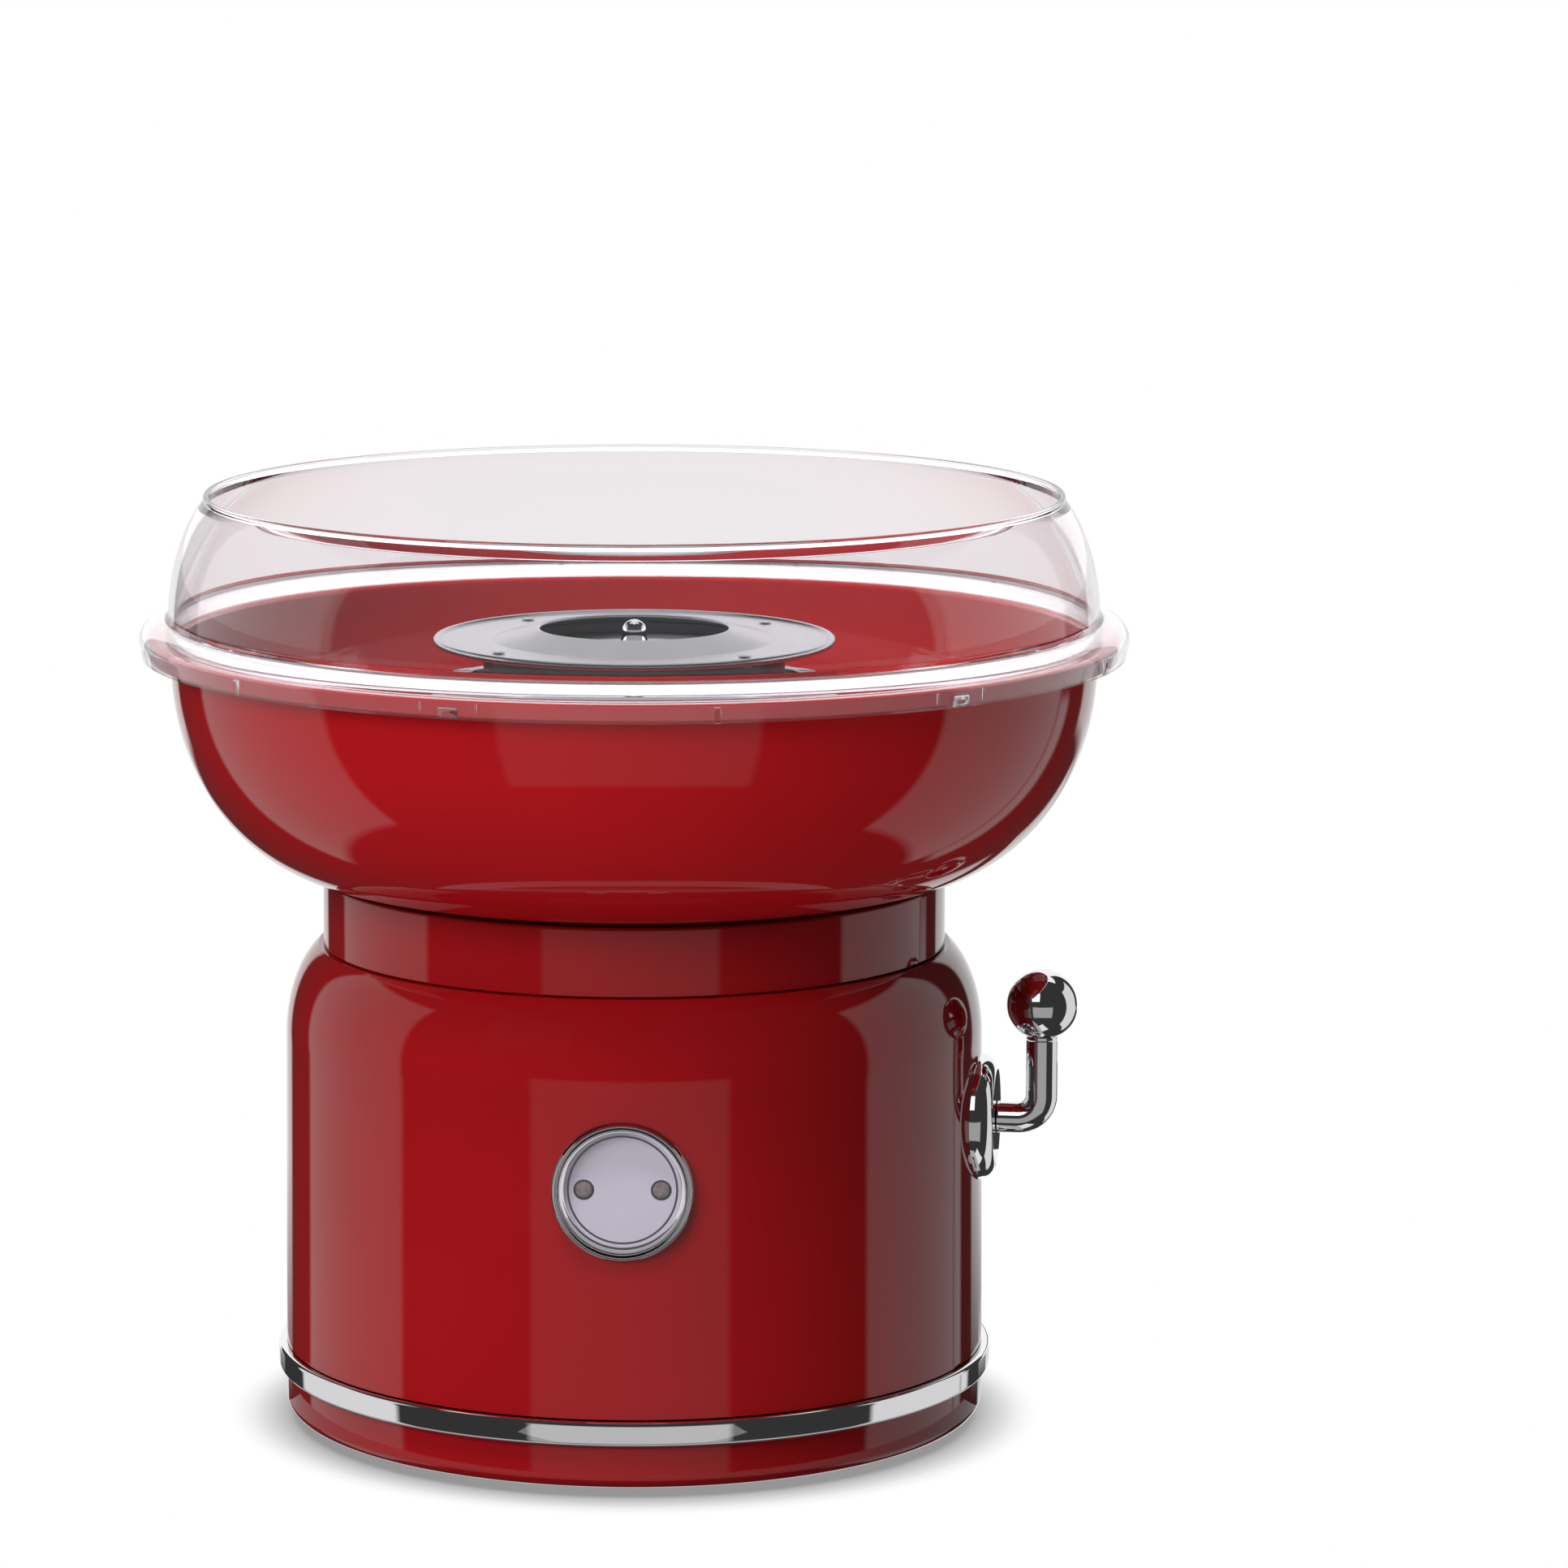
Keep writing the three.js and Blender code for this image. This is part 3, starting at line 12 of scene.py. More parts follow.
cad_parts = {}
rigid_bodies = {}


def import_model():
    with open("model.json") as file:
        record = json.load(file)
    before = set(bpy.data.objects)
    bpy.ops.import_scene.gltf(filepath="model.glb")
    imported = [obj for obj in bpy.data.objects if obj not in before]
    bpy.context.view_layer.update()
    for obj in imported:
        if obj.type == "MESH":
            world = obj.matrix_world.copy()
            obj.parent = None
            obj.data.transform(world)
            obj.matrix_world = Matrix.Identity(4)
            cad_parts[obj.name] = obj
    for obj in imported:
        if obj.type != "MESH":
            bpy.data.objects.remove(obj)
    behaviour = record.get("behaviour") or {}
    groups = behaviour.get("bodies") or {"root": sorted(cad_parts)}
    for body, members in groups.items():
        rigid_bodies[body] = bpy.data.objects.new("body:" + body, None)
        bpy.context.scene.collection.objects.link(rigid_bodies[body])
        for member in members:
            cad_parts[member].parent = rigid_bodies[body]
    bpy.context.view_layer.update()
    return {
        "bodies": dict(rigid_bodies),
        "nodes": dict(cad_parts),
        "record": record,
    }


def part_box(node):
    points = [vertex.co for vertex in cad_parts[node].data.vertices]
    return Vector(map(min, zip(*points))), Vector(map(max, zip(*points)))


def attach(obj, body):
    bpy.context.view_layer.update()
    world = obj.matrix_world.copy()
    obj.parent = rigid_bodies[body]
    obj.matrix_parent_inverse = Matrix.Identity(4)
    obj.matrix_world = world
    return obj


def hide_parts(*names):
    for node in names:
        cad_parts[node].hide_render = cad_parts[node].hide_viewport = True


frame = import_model()

MM = 0.001
ROUND = 192  # faces round a large shell
SMALL_ROUND = 64
TINY_ROUND = 32
SMOOTH_ANGLE = math.radians(32)
SEAM = 0.3  # the model's gap between two pieces that touch


def node_box(name):
    """Lowest and highest corners of a node of the model, in millimetres."""
    low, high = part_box(name)
    return Vector(low) / MM, Vector(high) / MM


def radius_of(name):
    """Radius of a node that is turned about the machine's axis."""
    return node_box(name)[1].x


# Camera

CAMERA_AZIMUTH = 1.9  # degrees from the front towards the lever
CAMERA_DISTANCE = 1995.9  # from the machine's axis
CAMERA_HEIGHT = 519.5
CAMERA_PITCH = 9.23  # degrees down
FOCAL_LENGTH = 152.42
SENSOR = 36
PHOTO_SIDE = 1932
AXIS_COLUMN = 781.5  # where the machine's axis stands in the photograph


def make_camera():
    turn = math.radians(CAMERA_AZIMUTH)
    data = bpy.data.cameras.new("camera")
    data.lens = FOCAL_LENGTH
    data.sensor_width = SENSOR
    data.shift_x = (PHOTO_SIDE / 2 - AXIS_COLUMN) / PHOTO_SIDE
    camera = bpy.data.objects.new("camera", data)
    place = Vector((math.sin(turn), -math.cos(turn), 0)) * CAMERA_DISTANCE
    place.z = CAMERA_HEIGHT
    camera.location = place * MM
    camera.rotation_euler = (math.radians(90 - CAMERA_PITCH), 0, turn)
    bpy.context.collection.objects.link(camera)
    bpy.context.scene.camera = camera


make_camera()
bpy.context.scene.view_settings.view_transform = "Standard"


# Outlines and meshes


def arc(centre, half_axes, start, end, steps):
    """Points along part of an ellipse, for an outline in radius and height."""
    turns = [math.radians(start + (end - start) * i / steps) for i in range(steps + 1)]
    return [
        (centre[0] + half_axes[0] * math.cos(t), centre[1] + half_axes[1] * math.sin(t))
        for t in turns
    ]


def rounded(corners, steps=4):
    """An outline with its corners rounded: each corner is (radius, height, rounding)."""
    points = []
    count = len(corners)
    for i, (x, z, size) in enumerate(corners):
        here = Vector((x, z))
        if size == 0:
            points.append((x, z))
            continue
        before = (Vector(corners[i - 1][:2]) - here).normalized()
        after = (Vector(corners[(i + 1) % count][:2]) - here).normalized()
        half = before.angle(after) / 2
        reach = size / math.tan(half)
        centre = here + (before + after).normalized() * size / math.sin(half)
        first = here + before * reach - centre
        last = here + after * reach - centre
        sweep = first.angle_signed(last)
        for k in range(steps + 1):
            share = sweep * k / steps
            spin = Matrix.Rotation(-share, 2)
            point = centre + spin @ first
            points.append((point.x, point.y))
    return points


def new_piece(name, mesh):
    piece = bpy.data.objects.new(name, mesh)
    bpy.context.collection.objects.link(piece)
    return piece


def finish_mesh(mesh):
    """Faces outward, smooth shading and sharp edges past an angle."""
    work = bmesh.new()
    work.from_mesh(mesh)
    bmesh.ops.remove_doubles(work, verts=work.verts, dist=1e-7)
    bmesh.ops.recalc_face_normals(work, faces=work.faces)
    work.to_mesh(mesh)
    work.free()
    mesh.shade_smooth()
    mesh.set_sharp_from_angle(angle=SMOOTH_ANGLE)


def built(name, work, matrix):
    """The piece drawn in a bmesh, moved into its place where there is a matrix for that."""
    mesh = bpy.data.meshes.new(name)
    work.to_mesh(mesh)
    work.free()
    finish_mesh(mesh)
    if matrix:
        mesh.transform(matrix)
    return new_piece(name, mesh)


def turned(name, outline, steps=ROUND, matrix=None):
    """A solid of revolution about Z from a closed outline, or one that starts and ends on the axis."""
    work = bmesh.new()
    rings = []
    for radius, height in outline:
        if radius < 1e-6:
            rings.append([work.verts.new((0, 0, height * MM))])
            continue
        turns = [2 * math.pi * k / steps for k in range(steps)]
        rings.append([
            work.verts.new((radius * MM * math.cos(t), radius * MM * math.sin(t), height * MM))
            for t in turns
        ])
    closed = outline[0][0] > 1e-6 or outline[-1][0] > 1e-6
    pairs = list(zip(rings, rings[1:]))
    if closed:
        pairs.append((rings[-1], rings[0]))
    for a, b in pairs:
        for k in range(steps):
            m = (k + 1) % steps
            corners = [a[k % len(a)], a[m % len(a)], b[m % len(b)], b[k % len(b)]]
            corners = list(dict.fromkeys(corners))
            if len(corners) > 2:
                work.faces.new(corners)
    return built(name, work, matrix)


def bar(name, radius, low, high, matrix, steps=TINY_ROUND):
    """A round bar along Z between two heights, then moved by the matrix."""
    return turned(name, [(0, low), (radius, low), (radius, high), (0, high)], steps, matrix)


def block(name, low, high, matrix, edge=0):
    """A box between two corners in millimetres, with its edges rounded."""
    work = bmesh.new()
    bmesh.ops.create_cube(work, size=1)
    low, high = Vector(low), Vector(high)
    for v in work.verts:
        v.co = Vector(low[i] + (v.co[i] + 0.5) * (high[i] - low[i]) for i in range(3)) * MM
    if edge:
        bmesh.ops.bevel(
            work, geom=work.edges[:], offset=edge * MM, segments=3, profile=0.5, affect="EDGES"
        )
    return built(name, work, matrix)


def swept(name, path, radius, steps, matrix):
    """A round bar along a path in one plane, given as points (y, z)."""
    work = bmesh.new()
    rings = []
    points = [Vector((0, y, z)) for y, z in path]
    for i, point in enumerate(points):
        along = (points[min(i + 1, len(points) - 1)] - points[max(i - 1, 0)]).normalized()
        side = Vector((1, 0, 0))
        up = along.cross(side)
        rings.append([
            work.verts.new((point + radius * (side * math.cos(t) + up * math.sin(t))) * MM)
            for t in (2 * math.pi * k / steps for k in range(steps))
        ])
    for a, b in zip(rings, rings[1:]):
        for k in range(steps):
            m = (k + 1) % steps
            work.faces.new((a[k], a[m], b[m], b[k]))
    work.faces.new(rings[0])
    work.faces.new(rings[-1])
    return built(name, work, matrix)


def combined(piece, tools, operation):
    """The piece joined to the tools or with them cut away, as one mesh."""
    work = bmesh.new()
    for tool in tools:
        work.from_mesh(tool.data)
        bpy.data.objects.remove(tool)
    mesh = bpy.data.meshes.new("tools")
    work.to_mesh(mesh)
    work.free()
    tool = new_piece("tools", mesh)
    modifier = piece.modifiers.new(operation, "BOOLEAN")
    modifier.operation = operation
    modifier.solver = "MANIFOLD"
    modifier.object = tool
    graph = bpy.context.evaluated_depsgraph_get()
    piece.data = bpy.data.meshes.new_from_object(piece.evaluated_get(graph))
    piece.modifiers.clear()
    finish_mesh(piece.data)
    bpy.data.objects.remove(tool)
    return piece


def cut(piece, *tools):
    return combined(piece, tools, "DIFFERENCE")


def join(piece, *tools):
    return combined(piece, tools, "UNION")


def about_axis(degrees, radius=0):
    """Moves something out along X and then round the machine's axis."""
    out = Matrix.Translation((radius * MM, 0, 0))
    return Matrix.Rotation(math.radians(degrees), 4, "Z") @ out


def around(count, start):
    """Angles of things spaced evenly round the axis, in degrees from +X."""
    return [start + 360 * i / count for i in range(count)]


def side_frame(azimuth, height):
    """Frame of something on the casing's side: X across, Y up and Z straight out."""
    turn = math.radians(azimuth)
    outward = Vector((math.cos(turn), math.sin(turn), 0))
    up = Vector((0, 0, 1))
    across = up.cross(outward)
    matrix = Matrix((across, up, outward)).transposed().to_4x4()
    matrix.translation = (0, 0, height * MM)
    return matrix


# Materials


def linear(code):
    """A colour from its sRGB hex code."""
    parts = [int(code[i : i + 2], 16) / 255 for i in (1, 3, 5)]
    return [c / 12.92 if c <= 0.04045 else ((c + 0.055) / 1.055) ** 2.4 for c in parts] + [1]


def add(tree, kind, inputs=None, **settings):
    """One node with its settings, and its sockets set to values or linked to other nodes' sockets."""
    made = tree.nodes.new(kind)
    for key, value in settings.items():
        setattr(made, key, value)
    for key, value in (inputs or {}).items():
        if isinstance(value, bpy.types.NodeSocket):
            tree.links.new(value, made.inputs[key])
        else:
            made.inputs[key].default_value = value
    return made


def new_material(name):
    material = bpy.data.materials.new(name)
    material.use_nodes = True
    tree = material.node_tree
    tree.nodes.clear()
    return material, tree


def surface(tree, inputs):
    """The principled shader of a material, joined to its output."""
    shader = add(tree, "ShaderNodeBsdfPrincipled", inputs)
    add(tree, "ShaderNodeOutputMaterial", {"Surface": shader.outputs[0]})


def grain(tree, size, detail=2.0, stretch=(1, 1, 1)):
    """Noise whose features are a given size in millimetres, stretched along an axis."""
    place = add(tree, "ShaderNodeTexCoord").outputs["Object"]
    scaled = add(
        tree,
        "ShaderNodeMapping",
        {"Vector": place, "Scale": [1 / (size * MM * s) for s in stretch]},
    )
    return add(
        tree,
        "ShaderNodeTexNoise",
        {"Vector": scaled.outputs[0], "Scale": 1.0, "Detail": detail},
    ).outputs["Fac"]


def shaded(tree, factor, dark, light):
    ramp = add(tree, "ShaderNodeValToRGB", {"Fac": factor})
    ramp.color_ramp.elements[0].color = linear(dark)
    ramp.color_ramp.elements[1].color = linear(light)
    return ramp.outputs[0]


def banding(pitch):
    """Scale of a wave texture whose bands repeat at a pitch in millimetres."""
    return math.pi / (10 * (pitch * MM))


def gloss_abs_red():
    """ABS, injection moulded in a polished tool: deep red with a mirror gloss, and a faint
    flow of the moulding that only bends the edges of its reflections."""
    material, tree = new_material("gloss_abs_red")
    flow = grain(tree, 38)
    surface(tree, {
        "Base Color": shaded(tree, grain(tree, 60), "#930F14", "#A01218"),
        "Roughness": add(tree, "ShaderNodeMapRange", {
            "Value": grain(tree, 9), "To Min": 0.035, "To Max": 0.06
        }).outputs[0],
        "IOR": 1.5,
        "Normal": add(tree, "ShaderNodeBump", {
            "Height": flow, "Distance": 0.02 * MM, "Strength": 1.0
        }).outputs[0],
    })
    return material


def chrome_plate():
    """Bright chrome plating over a polished zinc casting: a mirror with a trace of haze."""
    material, tree = new_material("chrome_plate")
    surface(tree, {
        "Base Color": shaded(tree, grain(tree, 20), "#EEEEF0", "#F3F3F5"),
        "Metallic": 1.0,
        "Roughness": add(tree, "ShaderNodeMapRange", {
            "Value": grain(tree, 4), "To Min": 0.02, "To Max": 0.05
        }).outputs[0],
        "Normal": add(tree, "ShaderNodeBump", {
            "Height": grain(tree, 14), "Distance": 0.004 * MM, "Strength": 1.0
        }).outputs[0],
    })
    return material


def clear_styrene():
    """Clear polystyrene, injection moulded: glass-bright with a faint grey, a gentle waviness
    of the wall, and it lets the lamps through."""
    material, tree = new_material("clear_styrene")
    shader = add(tree, "ShaderNodeBsdfPrincipled", {
        "Base Color": linear("#F4F2F4"),
        "Roughness": add(tree, "ShaderNodeMapRange", {
            "Value": grain(tree, 6), "To Min": 0.0, "To Max": 0.02
        }).outputs[0],
        "IOR": 1.49,
        "Transmission Weight": 0.992,
        "Normal": add(tree, "ShaderNodeBump", {
            "Height": grain(tree, 22), "Distance": 0.01 * MM, "Strength": 1.0
        }).outputs[0],
    })
    path = add(tree, "ShaderNodeLightPath").outputs
    lamp_ray = add(
        tree, "ShaderNodeMath", {0: path["Is Shadow Ray"], 1: path["Is Diffuse Ray"]}, operation="MAXIMUM"
    ).outputs[0]
    clear = add(tree, "ShaderNodeBsdfTransparent", {"Color": linear("#F0EDF0")})
    mixed = add(tree, "ShaderNodeMixShader", {
        "Fac": lamp_ray,
        1: shader.outputs[0],
        2: clear.outputs[0],
    })
    add(tree, "ShaderNodeOutputMaterial", {"Surface": mixed.outputs[0]})
    return material


def spun_aluminium():
    """Aluminium sheet, spun and satin finished: grey with rings left by the lathe."""
    material, tree = new_material("spun_aluminium")
    place = add(tree, "ShaderNodeTexCoord").outputs["Object"]
    rings = add(
        tree,
        "ShaderNodeTexWave",
        {"Vector": place, "Scale": banding(0.5), "Distortion": 0.6, "Detail": 1.0},
        wave_type="RINGS",
        rings_direction="Z",
    ).outputs["Fac"]
    surface(tree, {
        "Base Color": shaded(tree, grain(tree, 12), "#A9AAAF", "#B5B6BB"),
        "Metallic": 1.0,
        "Roughness": add(tree, "ShaderNodeMapRange", {
            "Value": rings, "To Min": 0.24, "To Max": 0.34
        }).outputs[0],
        "Normal": add(tree, "ShaderNodeBump", {
            "Height": rings, "Distance": 0.004 * MM, "Strength": 1.0
        }).outputs[0],
    })
    return material


# The drum's pan, seen through the hole of the head's disc
PAN_RADIUS = 44.8
PAN_LOW = node_box("head_drum")[1].z - 4.3


def heat_tinted_steel():
    """Mild steel, pressed and browned by heat: near black and half matt with clouds of oxide,
    but painted pale grey and less metallic on the head's pan, as a painted pool of the light that falls through
    the disc's hole."""
    material, tree = new_material("heat_tinted_steel")
    place = add(tree, "ShaderNodeTexCoord").outputs["Object"]
    parts = add(tree, "ShaderNodeSeparateXYZ", {"Vector": place}).outputs
    away = add(tree, "ShaderNodeVectorMath", {0: place, 1: (1, 1, 0)}, operation="MULTIPLY")
    radius = add(tree, "ShaderNodeVectorMath", {0: away.outputs[0]}, operation="LENGTH")
    inside = add(tree, "ShaderNodeMapRange", {
        "Value": radius.outputs["Value"],
        "From Min": (PAN_RADIUS + 0.5) * MM,
        "From Max": (PAN_RADIUS - 4) * MM,
    })
    # The head's pan, inside the drum and above its floor: painted light, made pale for the light that falls on
    # it through the disc's hole
    above = add(
        tree, "ShaderNodeMath", {0: parts["Z"], 1: PAN_LOW * MM}, operation="GREATER_THAN"
    ).outputs[0]
    pan_painted_light = add(
        tree, "ShaderNodeMath", {0: inside.outputs[0], 1: above}, operation="MULTIPLY"
    ).outputs[0]
    browned = shaded(tree, grain(tree, 7, 4), "#242326", "#3B3A3E")
    # Painted light: the pale grey that the lit pan is given
    grey = shaded(tree, grain(tree, 16, 3), "#9EA0A6", "#D2D4D8")
    # Sockets 6 and 7 of a mix node are its colours
    color = add(
        tree,
        "ShaderNodeMix",
        {"Factor": pan_painted_light, 6: browned, 7: grey},
        data_type="RGBA",
    ).outputs[2]
    surface(tree, {
        "Base Color": color,
        "Metallic": add(tree, "ShaderNodeMapRange", {
            "Value": pan_painted_light, "To Min": 0.9, "To Max": 0.2
        }).outputs[0],
        "Roughness": add(tree, "ShaderNodeMapRange", {
            "Value": grain(tree, 3), "To Min": 0.3, "To Max": 0.5
        }).outputs[0],
        "Normal": add(tree, "ShaderNodeBump", {
            "Height": grain(tree, 1.5), "Distance": 0.01 * MM, "Strength": 1.0
        }).outputs[0],
    })
    return material


def zinc_plated_steel():
    """Steel with bright zinc plating: pale and slightly blue, finely mottled."""
    material, tree = new_material("zinc_plated_steel")
    surface(tree, {
        "Base Color": shaded(tree, grain(tree, 2, 3), "#A5A8AD", "#BEC1C5"),
        "Metallic": 1.0,
        "Roughness": add(tree, "ShaderNodeMapRange", {
            "Value": grain(tree, 1.2), "To Min": 0.22, "To Max": 0.38
        }).outputs[0],
        "Normal": add(tree, "ShaderNodeBump", {
            "Height": grain(tree, 0.8), "Distance": 0.004 * MM, "Strength": 1.0
        }).outputs[0],
    })
    return material


def moulded_rubber():
    """Black rubber, compression moulded: matt, dusty at the high spots."""
    material, tree = new_material("moulded_rubber")
    surface(tree, {
        "Base Color": shaded(tree, grain(tree, 3, 4), "#151517", "#232326"),
        "Roughness": add(tree, "ShaderNodeMapRange", {
            "Value": grain(tree, 1.5), "To Min": 0.72, "To Max": 0.88
        }).outputs[0],
        "Normal": add(tree, "ShaderNodeBump", {
            "Height": grain(tree, 0.6), "Distance": 0.03 * MM, "Strength": 1.0
        }).outputs[0],
    })
    return material


def black_nylon():
    """Nylon, injection moulded in a spark-eroded tool: black with a fine even grain."""
    material, tree = new_material("black_nylon")
    surface(tree, {
        "Base Color": shaded(tree, grain(tree, 5), "#1B1C1E", "#242528"),
        "Roughness": add(tree, "ShaderNodeMapRange", {
            "Value": grain(tree, 1), "To Min": 0.42, "To Max": 0.55
        }).outputs[0],
        "Normal": add(tree, "ShaderNodeBump", {
            "Height": grain(tree, 0.5), "Distance": 0.02 * MM, "Strength": 1.0
        }).outputs[0],
    })
    return material


def steatite():
    """Steatite ceramic, pressed and fired unglazed: ivory and chalky."""
    material, tree = new_material("steatite")
    surface(tree, {
        "Base Color": shaded(tree, grain(tree, 1.5, 4), "#DDD6C8", "#EAE5DB"),
        "Roughness": add(tree, "ShaderNodeMapRange", {
            "Value": grain(tree, 1), "To Min": 0.5, "To Max": 0.7
        }).outputs[0],
        "Normal": add(tree, "ShaderNodeBump", {
            "Height": grain(tree, 0.4), "Distance": 0.01 * MM, "Strength": 1.0
        }).outputs[0],
    })
    return material


def sintered_bronze():
    """Sintered bronze, oil filled: dull gold with open pores."""
    material, tree = new_material("sintered_bronze")
    surface(tree, {
        "Base Color": shaded(tree, grain(tree, 0.8, 4), "#8E6E38", "#B8934A"),
        "Metallic": 1.0,
        "Roughness": add(tree, "ShaderNodeMapRange", {
            "Value": grain(tree, 0.6), "To Min": 0.35, "To Max": 0.5
        }).outputs[0],
        "Normal": add(tree, "ShaderNodeBump", {
            "Height": grain(tree, 0.5), "Distance": 0.01 * MM, "Strength": 1.0
        }).outputs[0],
    })
    return material


def varnished_winding():
    """Enamelled copper under varnish, with the turns of the wire showing."""
    material, tree = new_material("varnished_winding")
    place = add(tree, "ShaderNodeTexCoord").outputs["Object"]
    turns = add(
        tree,
        "ShaderNodeTexWave",
        {"Vector": place, "Scale": banding(0.9), "Distortion": 0.4},
        wave_type="BANDS",
        bands_direction="X",
    ).outputs["Fac"]
    surface(tree, {
        "Base Color": shaded(tree, turns, "#7C4528", "#B8734A"),
        "Metallic": 0.8,
        "Roughness": add(tree, "ShaderNodeMapRange", {
            "Value": turns, "To Min": 0.25, "To Max": 0.4
        }).outputs[0],
        "Normal": add(tree, "ShaderNodeBump", {
            "Height": turns, "Distance": 0.2 * MM, "Strength": 1.0
        }).outputs[0],
    })
    return material


def solder_mask():
    """Circuit board under green solder mask: satin, with the copper's pattern as faint relief."""
    material, tree = new_material("solder_mask")
    tracks = grain(tree, 3, 0)
    surface(tree, {
        "Base Color": shaded(tree, tracks, "#264F34", "#35694A"),
        "Roughness": add(tree, "ShaderNodeMapRange", {
            "Value": tracks, "To Min": 0.4, "To Max": 0.5
        }).outputs[0],
        "Normal": add(tree, "ShaderNodeBump", {
            "Height": tracks, "Distance": 0.04 * MM, "Strength": 1.0
        }).outputs[0],
    })
    return material


def pressed_ferrite():
    """Ferrite, pressed and ground: charcoal grey and fine grained."""
    material, tree = new_material("pressed_ferrite")
    surface(tree, {
        "Base Color": shaded(tree, grain(tree, 0.7, 4), "#343539", "#46474C"),
        "Roughness": add(tree, "ShaderNodeMapRange", {
            "Value": grain(tree, 0.5), "To Min": 0.6, "To Max": 0.78
        }).outputs[0],
        "Normal": add(tree, "ShaderNodeBump", {
            "Height": grain(tree, 0.4), "Distance": 0.01 * MM, "Strength": 1.0
        }).outputs[0],
    })
    return material


def lamp_polycarbonate():
    """Smoked polycarbonate lamp caps, unlit: grey-brown, with a pebbled inside that breaks
    up the light."""
    material, tree = new_material("lamp_polycarbonate")
    place = add(tree, "ShaderNodeTexCoord").outputs["Object"]
    pebble = 1.1 * MM
    cells = add(
        tree,
        "ShaderNodeTexVoronoi",
        {"Vector": place, "Scale": 1 / pebble},
        feature="F1",
    ).outputs["Distance"]
    surface(tree, {
        "Base Color": shaded(tree, cells, "#A08E88", "#665A58"),
        "Roughness": add(tree, "ShaderNodeMapRange", {
            "Value": cells, "To Min": 0.15, "To Max": 0.3
        }).outputs[0],
        "IOR": 1.58,
        "Normal": add(tree, "ShaderNodeBump", {
            "Height": cells, "Distance": 0.15 * MM, "Strength": 1.0
        }).outputs[0],
    })
    return material


# Heights of the dial and of the lever's axle, and what is printed on the dial's plate
DIAL_MIDDLE = sum(box.z for box in node_box("dial_plate")) / 2
LEVER_AXLE = sum(box.z for box in node_box("lever_rosette")) / 2
PRINTED_RING = 15.95
PRINTED_LINE = 0.62
LAMP_REACH = 11.3  # of the two lamps from the dial's middle
LAMP_RING = 2.8
LAMP_LINE = 0.55


def painted_plate():
    """Aluminium plate with lilac-grey satin paint, one dark printed ring near its edge and
    one round each lamp."""
    material, tree = new_material("painted_plate")
    place = add(tree, "ShaderNodeTexCoord").outputs["Object"]
    # The place on the plate without its depth
    flat = add(
        tree,
        "ShaderNodeVectorMath",
        {0: place, 1: (1, 0, 1)},
        operation="MULTIPLY",
    ).outputs[0]
    ink = 0.0
    for x, radius, line in (
        (0, PRINTED_RING, PRINTED_LINE),
        (-LAMP_REACH, LAMP_RING, LAMP_LINE),
        (LAMP_REACH, LAMP_RING, LAMP_LINE),
    ):
        centre = (x * MM, 0, DIAL_MIDDLE * MM)
        away = add(tree, "ShaderNodeVectorMath", {0: flat, 1: centre}, operation="DISTANCE")
        half_line = line / 2 * MM
        ring = add(
            tree, "ShaderNodeMath", {0: away.outputs["Value"], 1: radius * MM, 2: half_line}, operation="COMPARE"
        ).outputs[0]
        ink = add(tree, "ShaderNodeMath", {0: ring, 1: ink}, operation="MAXIMUM").outputs[0]
    paint = shaded(tree, grain(tree, 4), "#E9E8F5", "#F0EFFB")
    color = add(
        tree,
        "ShaderNodeMix",
        {"Factor": ink, 6: paint, 7: linear("#2B2A33")},
        data_type="RGBA",
    ).outputs[2]
    surface(tree, {
        "Base Color": color,
        "Roughness": add(tree, "ShaderNodeMapRange", {
            "Value": grain(tree, 1.2), "To Min": 0.4, "To Max": 0.5
        }).outputs[0],
        "Normal": add(tree, "ShaderNodeBump", {
            "Height": grain(tree, 0.9), "Distance": 0.004 * MM, "Strength": 1.0
        }).outputs[0],
    })
    return material


finishes = {
    "red_plastic": gloss_abs_red(),
    "clear_plastic": clear_styrene(),
    "chrome": chrome_plate(),
    "head_aluminium": spun_aluminium(),
    "dark_steel": heat_tinted_steel(),
    "steel": zinc_plated_steel(),
    "rubber": moulded_rubber(),
    "black_plastic": black_nylon(),
    "ceramic": steatite(),
    "brass": sintered_bronze(),
    "armature": varnished_winding(),
    "plate_paint": painted_plate(),
    "lamp_plastic": lamp_polycarbonate(),
    "board": solder_mask(),
    "ferrite": pressed_ferrite(),
}


bodies = {empty: name for name, empty in frame["bodies"].items()}
owners = {name: bodies[made.parent] for name, made in frame["nodes"].items()}
slots = {part["node"]: part["material_slot"] for part in frame["record"]["subparts"]}


def dress(piece, *nodes):
    """Puts a finished piece in the place of nodes of the model, with their body and finish."""
    slot = slots[nodes[0]]
    flats = piece.modifiers.new("flats", "WEIGHTED_NORMAL")
    flats.keep_sharp = True
    piece.data.materials.clear()
    piece.data.materials.append(finishes[slot])
    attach(piece, owners[nodes[0]])
    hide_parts(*nodes)


# Casing, base and band

BODY = radius_of("body_casing")
BODY_TOP = BODY - 0.6
SHOULDER = (18.05, 31.1)  # half axes of the ellipse that rounds the shoulder
SHOULDER_TURN = 63.6
WALL = 2.4
LEDGE = node_box("body_casing")[1].z
LEDGE_OPENING = 81.98
BAND_LOW = node_box("chrome_band")[0].z
BAND_TOP = node_box("chrome_band")[1].z
SHOULDER_LOW = LEDGE - SHOULDER[1] * math.sin(math.radians(SHOULDER_TURN))
BASE_LOW = node_box("base_pan")[0].z
COLLAR = BODY - WALL - SEAM
DIAL_AZIMUTH = -90
LEVER_AZIMUTH = -6
GLAND_AZIMUTH = 90
GLAND_HEIGHT = sum(box.z for box in node_box("cord_gland")) / 2
FEET_CIRCLE = 84
FOOT_SEAT = 10.8
VENT_CIRCLE = 46
SCREW_CIRCLE = 97.5  # of the base's screws, which stand in pillars
